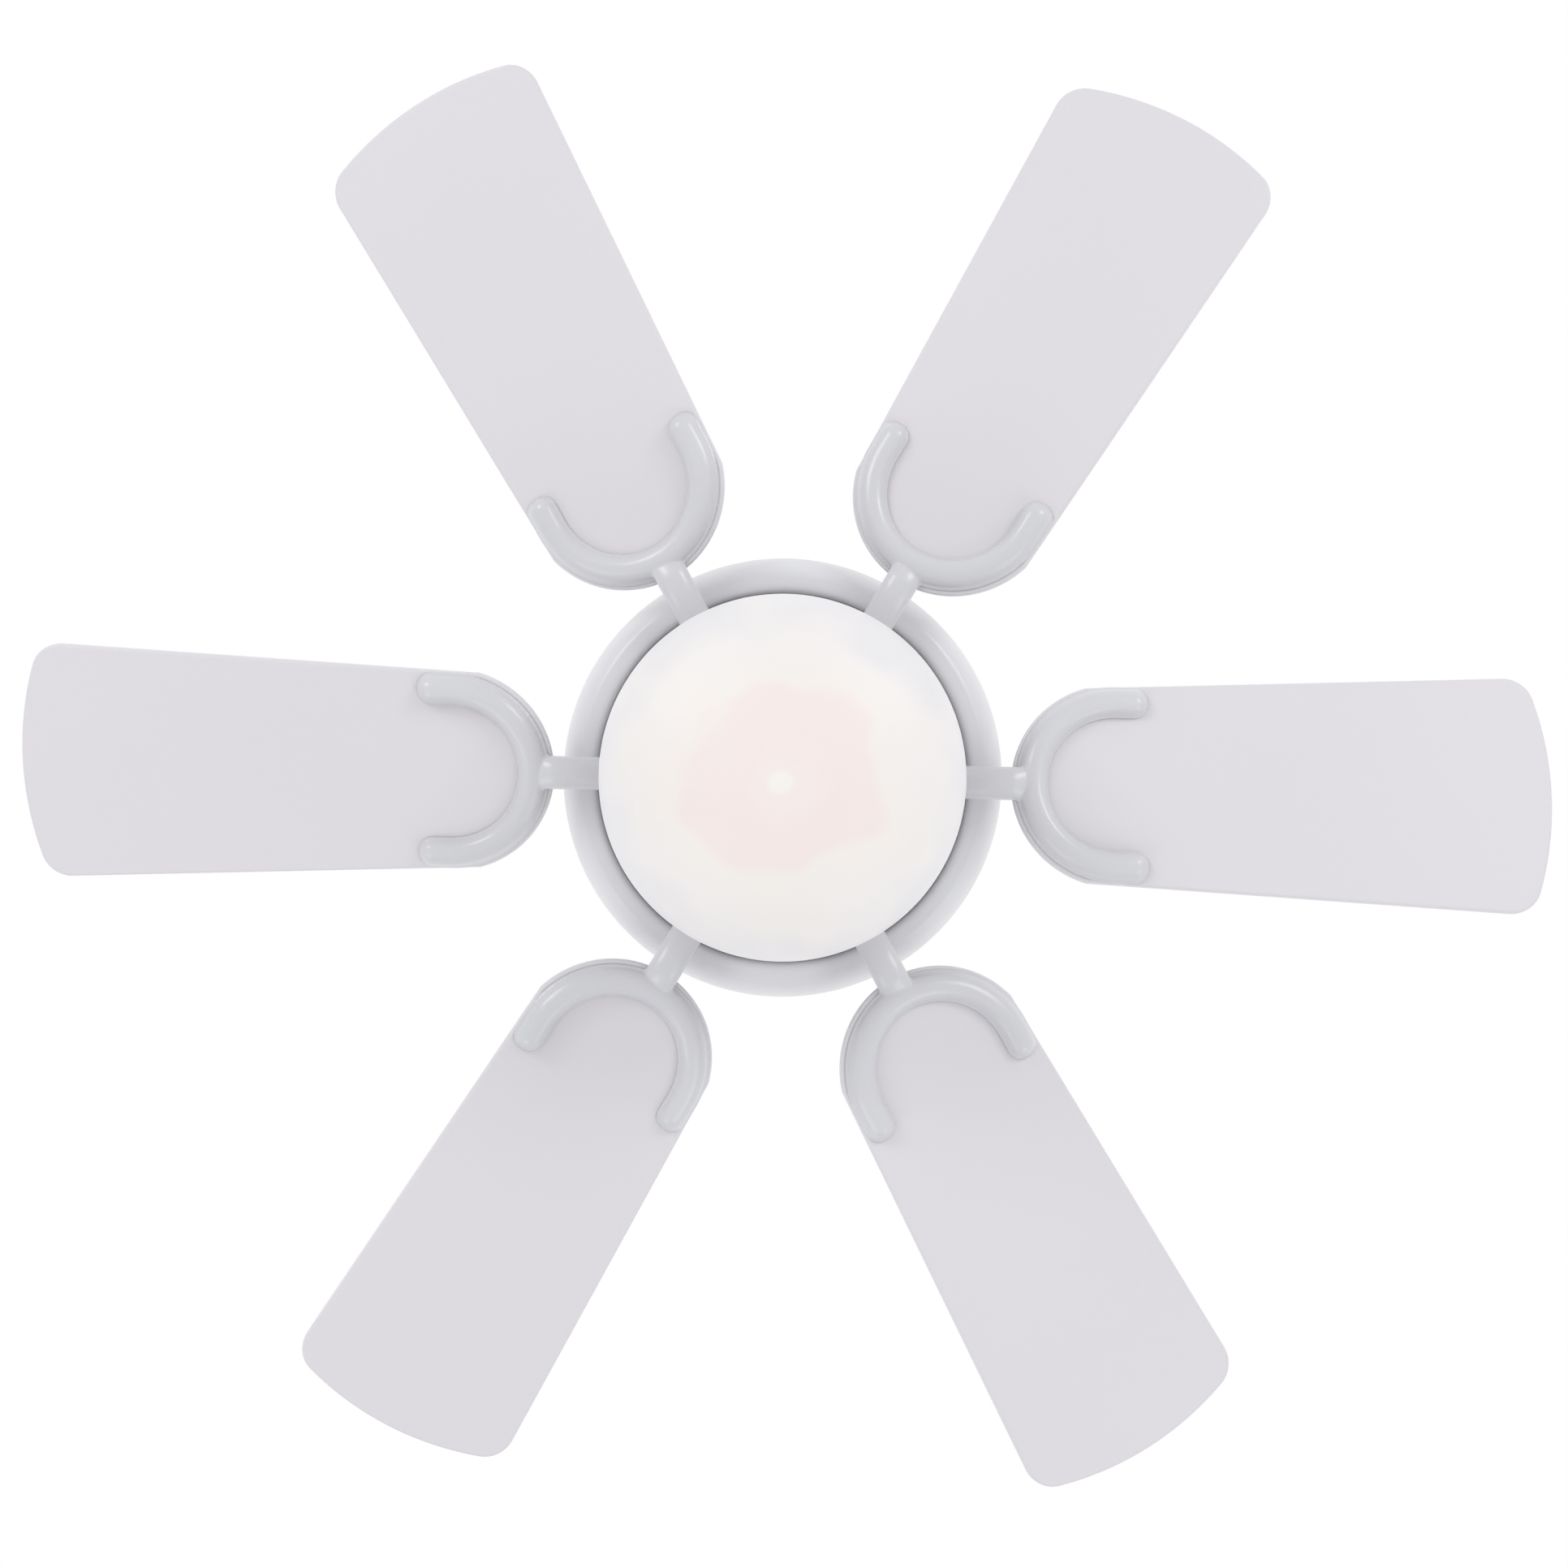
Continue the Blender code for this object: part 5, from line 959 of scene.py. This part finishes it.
def foil():
    """Matt white foil: a fine grain along the blade and a slow drift between two close whites."""
    material = finish_of("white blade foil", (0.793, 0.771, 0.795), (0.778, 0.757, 0.781), (0.38, 0.48),
                         patches=5, grain=1300, share=0.85, bump=0.10, dust=0.22, Specular_IOR_Level=0.4)
    tree = material.node_tree
    along = new_node(tree, "ShaderNodeUVMap", uv_map="grain")
    streak = new_node(tree, "ShaderNodeMapping", Scale=(18, 620, 1))
    fibre = new_node(tree, "ShaderNodeTexNoise", Scale=1.0, Detail=4.0)
    wire(tree, (along, 0, streak, "Vector"), (streak, 0, fibre, "Vector"), (fibre, "Fac", "relief", "Height"))
    return material


pattern = blade_mesh(foil())
seats = []
for index in range(BLADES):
    mesh = pattern.copy()
    mesh.name = name = f"blade_board_{index + 1}"
    pose = blade_turn(index, 4) @ Matrix.Rotation(-PITCH, 4, "X")
    mesh.transform(Matrix.Translation((0, 0, BLADE_LEVEL)) @ pose)
    fitted(placed(name, mesh), "rotor", "blade_foil", f"blade_{index + 1}")
    pose = blade_turn(index, 3) @ Matrix.Rotation(-PITCH, 3, "X")
    for x, y in ((ROOT_CENTRE, BAR_REACH), (ROOT_CENTRE - BAR_REACH, 0), (ROOT_CENTRE, -BAR_REACH)):
        seat = pose @ Vector((x, y, BLADE_FACE)) + Vector((0, 0, BLADE_LEVEL))
        seats.append((seat, pose @ Vector((0, 0, 1))))

washer = eased(tube(WASHER_RADIUS, WASHER_HOLE, 0, WASHER_SHEET), 0.25 * MM)
washer = turned("fibre washer", washer, white, steps=24)
blade_screw = screw_shape("blade screw", 3.6 * MM, 1.9 * MM, 2.0 * MM, 7.5 * MM, white)
blade_screw.data.transform(Matrix.Translation((0, 0, WASHER_SHEET + 0.2 * MM)))
both = bmesh.new()
for tool in (blade_screw, washer):
    both.from_mesh(tool.data)
both.to_mesh(blade_screw.data)
both.free()
fitted(driven("blade_screws", seats, blade_screw, white, 17), "rotor", "white_paint")
for tool in (washer, blade_screw):
    bpy.data.objects.remove(tool)

# ------------------------------------------------------------------ switch housing
# A zinc-plated dish is locked on the shaft's end. The white steel cup slides up over its rim and is
# held by three screws; inside it are the run capacitor and the switch that reverses the motor.

DISH_SHEET, NIPPLE_HOLE = 1.6 * MM, 5.3 * MM
CUP_CORNER = 4.5 * MM
SLOT_HALF, SLOT_TALL = 5.6 * MM, 2.6 * MM
NUT_CHAMFER, NUT_SPARE = 0.9 * MM, 1 * MM
RIBS, RIB_GAP, RIB_RADIUS, RIB_HEIGHT = 3, 1.3 * MM, 0.35 * MM, 3.0 * MM

low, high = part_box("switch_plate")
inner, dish = high.x - DISH_SHEET, high.z - DISH_SHEET
outline = [(high.x, high.z), (high.x, low.z), (inner, low.z), (inner, dish), (NIPPLE_HOLE, dish),
           (NIPPLE_HOLE, high.z)]
plate = turned("switch_dish", eased(outline, 0.5 * MM), zinc)
fitted(plate, "hanging_frame", "zinc_steel", "switch_plate")


def hexagon_nut(name, node, bore, material):
    """A six-sided nut with chamfered corners and a round hole, as tall as its CAD solid."""
    low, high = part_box(node)
    flat, wide = high.x * cos(pi / 6) + NUT_CHAMFER, high.x + NUT_SPARE
    blank = turned(name, [(flat, high.z), (wide, high.z - NUT_CHAMFER), (wide, low.z + NUT_CHAMFER),
                          (flat, low.z), (bore, low.z), (bore, high.z)], material, steps=60)
    above, below = high.z + NUT_SPARE, low.z - NUT_SPARE
    prism = turned("prism", [(0, above), (high.x, above), (high.x, below), (0, below)], material,
                   closed=False, steps=6)
    return worked(blank, name, "INTERSECT", prism)


nut = hexagon_nut("shaft_nut", "shaft_lock_nut", 5.35 * MM, steel)
fitted(nut, "hanging_frame", "bright_steel", "shaft_lock_nut")

low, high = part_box("reversing_slider")
slider_level, slider_middle, slider_face = (low.z + high.z) / 2, (low.x + high.x) / 2, high.y
low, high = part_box("switch_housing")
cup_radius = high.x
corner = arc((cup_radius - CUP_CORNER, low.z + CUP_CORNER), (CUP_CORNER, CUP_CORNER), 0, -pi / 2, 12)
path = [(cup_radius, high.z)] + corner + [(NIPPLE_HOLE, low.z)]
cup = turned("switch_cup", eased(walled(path, SHEET), 0.4 * MM), white, steps=160)
slot = cutter((-SLOT_HALF, cup_radius - 6 * MM, slider_level - SLOT_TALL),
              (SLOT_HALF, cup_radius + 5 * MM, slider_level + SLOT_TALL))
cup = worked(cup, "switch_cup_pressing", "DIFFERENCE", slot)
fitted(cup, "hanging_frame", "white_paint", "switch_housing")
low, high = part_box("switch_housing_screw_1")
seats = radial_seats(cup_radius + 0.1 * MM, (low.z + high.z) / 2, thirds(-pi / 2))
screws = driven("switch_housing_screws", seats, short_screw, white, 7)
fitted(screws, "hanging_frame", "white_paint", *[f"switch_housing_screw_{k}" for k in (1, 2, 3)])
bpy.data.objects.remove(short_screw)

black = finish_of("black moulded plastic", (0.035, 0.035, 0.037), (0.022, 0.022, 0.024), (0.4, 0.6),
                  patches=50, grain=1400, bump=0.25)
for node, width in (("run_capacitor", 0.4 * MM), ("reversing_switch", 0.3 * MM)):
    fitted(deburred(f"{node}_case", node, black, width), "hanging_frame", "black_plastic", node)

ivory = finish_of("ivory moulded plastic", (0.76, 0.73, 0.65), (0.71, 0.68, 0.60), (0.35, 0.5),
                  patches=60, grain=1500, bump=0.12, Subsurface_Weight=0.1, Subsurface_Scale=0.002)


def rib_tree():
    """A row of grip ribs: round bars side by side along X, half sunk in the knob."""
    tree, given, result = new_group(
        "grip ribs", "GeometryNodeTree",
        {"Geometry": "Geometry", "Count": "Int", "Gap": "Float", "Radius": "Float", "Height": "Float",
         "Middle": "Vector", "Finish": "Material"}, {"Ribs": "Geometry"})
    line, step = new_node(tree, "GeometryNodeMeshLine"), new_node(tree, "ShaderNodeCombineXYZ")
    rod = new_node(tree, "GeometryNodeMeshCylinder", Vertices=12)
    put = new_node(tree, "GeometryNodeInstanceOnPoints")
    wire(tree, (given, "Count", line, "Count"), (given, "Gap", step, "X"), (step, 0, line, "Offset"),
         (given, "Middle", line, "Start Location"), (given, "Radius", rod, "Radius"),
         (given, "Height", rod, "Depth"), (line, 0, put, "Points"), (rod, "Mesh", put, "Instance"))
    return end_tree(tree, given, result, put)


slider = deburred("reversing_slider_knob", "reversing_slider", ivory, 0.35 * MM)
fitted(slider, "reversing_slider", "ivory_plastic", "reversing_slider")
obj = placed("grip ribs", bpy.data.meshes.new("grip ribs"))
ribs = obj.modifiers.new("ribs", "NODES")
ribs.node_group = rib_tree()
set_inputs(ribs, Count=RIBS, Gap=RIB_GAP, Radius=RIB_RADIUS, Height=RIB_HEIGHT,
           Middle=(slider_middle - RIB_GAP, slider_face, slider_level), Finish=ivory)
fitted(settled(obj, "slider_grip_ribs"), "reversing_slider", "ivory_plastic")

# ------------------------------------------------------------------ light fitter and lamp
# A threaded nipple hangs the white pan and the porcelain lamp holder from the cup. Three ledges
# inside the pan carry the glass by its lugs. The lamp is a small frosted globe on a screw base.

CREST, ROOT_DEPTH, ROOT_RUN, END_DEPTH = 0.08 * MM, 0.45 * MM, 0.35 * MM, 0.5 * MM
PAN_CORNER = 5 * MM
LUG_HEIGHT, LEDGE_BORE = 5.5 * MM, 58.9 * MM
HOLDER_BORE = 13.3 * MM
CAP_PITCH, CAP_ROOT, CAP_TURNS = 2.6 * MM, 0.9 * MM, 5
GLOBE, GLOBE_NECK, GLOBE_WALL = 22.5 * MM, 11.5 * MM, 0.8 * MM

low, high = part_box("threaded_nipple")
root, end = high.x - ROOT_DEPTH, high.x - END_DEPTH
thread = [(end, high.z)]
for k in range(int((high.z - low.z) / MM) - 1):
    z = high.z - (k + 0.7) * MM
    thread += [(root, z + ROOT_RUN), (high.x, z + CREST), (high.x, z - CREST), (root, z - ROOT_RUN)]
thread += [(end, low.z), (SHAFT_HOLE, low.z), (SHAFT_HOLE, high.z)]
nipple = turned("nipple_thread", thread, zinc, steps=64)
fitted(nipple, "hanging_frame", "zinc_steel", "threaded_nipple")
nut = hexagon_nut("nipple_lock_nut", "nipple_nut", 5.2 * MM, zinc)
fitted(nut, "hanging_frame", "zinc_steel", "nipple_nut")


def sector(inner, outer, top, low, middle, half):
    """A flat block that is part of a ring."""
    rim = arc((0, 0), (outer, outer), middle - half, middle + half, 12)
    rim += arc((0, 0), (inner, inner), middle + half, middle - half, 12)
    shape = bmesh.new()
    loft(shape, [[(x, y, z) for x, y in rim] for z in (top, low)])
    bmesh.ops.recalc_face_normals(shape, faces=shape.faces)
    return shaped("sector", shape)


lug_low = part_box("glass_shade")[1].z - LUG_HEIGHT
low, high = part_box("light_fitter")
pan_radius, pan_corner = high.x, (high.x - PAN_CORNER, high.z - PAN_CORNER)
path = [(NIPPLE_HOLE, high.z)] + arc(pan_corner, (PAN_CORNER, PAN_CORNER), pi / 2, 0, 12)
path += [(pan_radius, low.z)]
pan = turned("fitter_pan", eased(walled(path, SHEET), 0.4 * MM), white, steps=160)
turns = thirds(pi / 2)
ledges = [sector(LEDGE_BORE, pan_radius - 0.5 * MM, lug_low - 0.3 * MM, lug_low - 2.1 * MM, t, radians(9))
          for t in turns]
pan = worked(pan, "fitter_pan_pressing", "UNION", *ledges)
fitted(pan, "hanging_frame", "white_paint", "light_fitter")

porcelain = finish_of("glazed porcelain", (0.84, 0.83, 0.79), (0.79, 0.78, 0.74), (0.08, 0.2),
                      patches=40, grain=500, bump=0.05, Coat_Weight=0.8, Coat_Roughness=0.05)
low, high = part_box("lamp_holder")
cap = high.z - 5 * MM
outline = [(high.x - 2 * MM, high.z), (high.x, high.z - 2 * MM), (high.x, high.z - 9 * MM),
           (high.x - 0.8 * MM, high.z - 10 * MM), (high.x, high.z - 11 * MM), (high.x, low.z),
           (HOLDER_BORE, low.z), (HOLDER_BORE, cap), (NIPPLE_HOLE, cap), (NIPPLE_HOLE, high.z)]
holder = turned("lamp_holder_body", eased(outline, 0.8 * MM), porcelain, steps=96)
fitted(holder, "hanging_frame", "porcelain", "lamp_holder")

brass = finish_of("lamp cap brass", (0.74, 0.58, 0.30), (0.62, 0.46, 0.22), (0.22, 0.4),
                  metallic=1.0, patches=60, grain=800, bump=0.15)
low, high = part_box("bulb_base")
outline = [(0, high.z), (3.6 * MM, high.z), (4.6 * MM, high.z - 1 * MM), (high.x - 1.8 * MM, high.z - 3 * MM)]
for k in range(CAP_TURNS):
    z = high.z - 5 * MM - k * CAP_PITCH
    outline += [(high.x - 0.1 * MM, z), (high.x - CAP_ROOT, z - CAP_PITCH / 2)]
outline += [(high.x - 0.4 * MM, low.z + 1 * MM), (high.x - 0.4 * MM, low.z), (0, low.z)]
outline = eased(outline, 0.8 * MM, closed=False)
fitted(turned("bulb_screw_cap", outline, brass, closed=False, steps=64),
       "hanging_frame", "lamp_cap_brass", "bulb_base")

frosted = finish_of("frosted bulb glass", (0.90, 0.88, 0.83), (0.86, 0.84, 0.79), (0.3, 0.4),
                    patches=30, grain=900, bump=0.04, Transmission_Weight=0.35, IOR=1.5)
low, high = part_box("bulb_globe")
top = acos(GLOBE_NECK / GLOBE)
centre, inside = high.z - GLOBE * sin(top) - 1 * MM, GLOBE - GLOBE_WALL
outline = [(GLOBE_NECK, high.z)] + arc((0, centre), (GLOBE, GLOBE), top, -pi / 2, 40)[:-1]
outline += [(0, centre - GLOBE)] + arc((0, centre), (inside, inside), -pi / 2, top, 40)
outline += [(GLOBE_NECK - GLOBE_WALL, high.z)]
bulb = turned("bulb_glass_globe", outline, frosted, steps=96)
fitted(bulb, "hanging_frame", "bulb_glass", "bulb_globe")

# ------------------------------------------------------------------ glass shade
# Blown opal glass, three millimetres thick, with a ground neck and three moulded lugs that turn onto
# the pan's ledges. A warm glow, as from the lamp behind, is painted into the middle, with a painted highlight
# dot at its very centre; the rim and neck look cooler.

NECK, NECK_HEIGHT, FLARE_DROP, GLASS_WALL = 58 * MM, 16 * MM, 22 * MM, 3 * MM
GLASS_RADIUS = 85 * MM
# Tints from the bowl's centre to its rim: a painted highlight dot, then a painted warm glow as from the lamp
# behind, then cooler white towards the rim.
GLASS_TINT_AND_PAINTED_GLOW = ((0.0, (0.99, 0.96, 0.93)), (0.03, (0.985, 0.905, 0.875)), (0.20, (0.985, 0.877, 0.86)),
               (0.46, (0.975, 0.88, 0.865)), (0.56, (0.972, 0.93, 0.892)), (0.80, (0.95, 0.93, 0.92)),
               (1.0, (0.872, 0.872, 0.895)))
GLOW_WANDER = 0.045


def opal():
    """Milk glass: satin outside, light scattered within, a painted warm glow low on the bowl and a painted
    highlight dot at its lowest point.
    """
    # The faint emission, in the glass's own tinted colour, is a painted glow: the shade is not a lamp.
    material = finish_of("opal glass", (0.975, 0.960, 0.945), (0.960, 0.942, 0.925), (0.40, 0.50),
                         patches=12, grain=500, share=0.9, bump=0.02, Subsurface_Weight=0.2,
                         Subsurface_Scale=0.004, Subsurface_Radius=(1, 1, 1), Specular_IOR_Level=0.4,
                         Emission_Strength=0.045)
    tree = material.node_tree
    flat = new_node(tree, "ShaderNodeMapping", Scale=(1, 1, 0))
    size = new_node(tree, "ShaderNodeVectorMath", operation="LENGTH")
    wobble = new_node(tree, "ShaderNodeTexNoise", Scale=26.0, Detail=1.5)
    push = new_node(tree, "ShaderNodeMath", operation="MULTIPLY_ADD")
    push.inputs[1].default_value, push.inputs[2].default_value = GLOW_WANDER, -GLOW_WANDER / 2
    add = new_node(tree, "ShaderNodeMath", operation="ADD")
    share = new_node(tree, "ShaderNodeMath", operation="DIVIDE")
    share.inputs[1].default_value = GLASS_RADIUS
    tint = new_node(tree, "ShaderNodeValToRGB")
    # The ramp paints the lamp's warm glow and a highlight dot into the glass's colour.
    set_stops(tint, GLASS_TINT_AND_PAINTED_GLOW)
    mix = new_node(tree, "ShaderNodeMix", data_type="RGBA", blend_type="MULTIPLY", Factor=1.0)
    wire(tree, ("where", "Object", flat, "Vector"), (flat, 0, size, 0), ("where", "Object", wobble, "Vector"),
         (wobble, "Fac", push, 0), (size, "Value", add, 0), (push, 0, add, 1), (add, 0, share, 0),
         (share, 0, tint, "Fac"), ("colour", "Result", mix, "A"), (tint, "Color", mix, "B"),
         (mix, "Result", "Principled BSDF", "Base Color"),
         (mix, "Result", "Principled BSDF", "Emission Color"))
    return material


low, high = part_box("glass_shade")
neck_low = high.z - NECK_HEIGHT
widest = neck_low - FLARE_DROP
outer = [(NECK, high.z), (NECK, neck_low + 1.5 * MM)]
outer += arc((NECK, widest), (high.x - NECK, neck_low - widest), pi / 2, 0, 20)[1:]
outer += arc((0, widest), (high.x, widest - low.z), 0, -pi / 2, 48)[1:]
inner = walled(outer, GLASS_WALL)[len(outer) + 1:]
shell = outer[:-1] + [(0, low.z), (0, low.z + GLASS_WALL)] + inner
shade = turned("opal_shade", shell, opal(), steps=192, sharp=50)
lugs = [sector(NECK - 1.5 * MM, NECK + 3.4 * MM, high.z - 1.7 * MM, lug_low, t, radians(7)) for t in turns]
shade = worked(shade, "opal_glass_shade", "UNION", *lugs)
fitted(shade, "glass_shade", "opal_glass", "glass_shade")
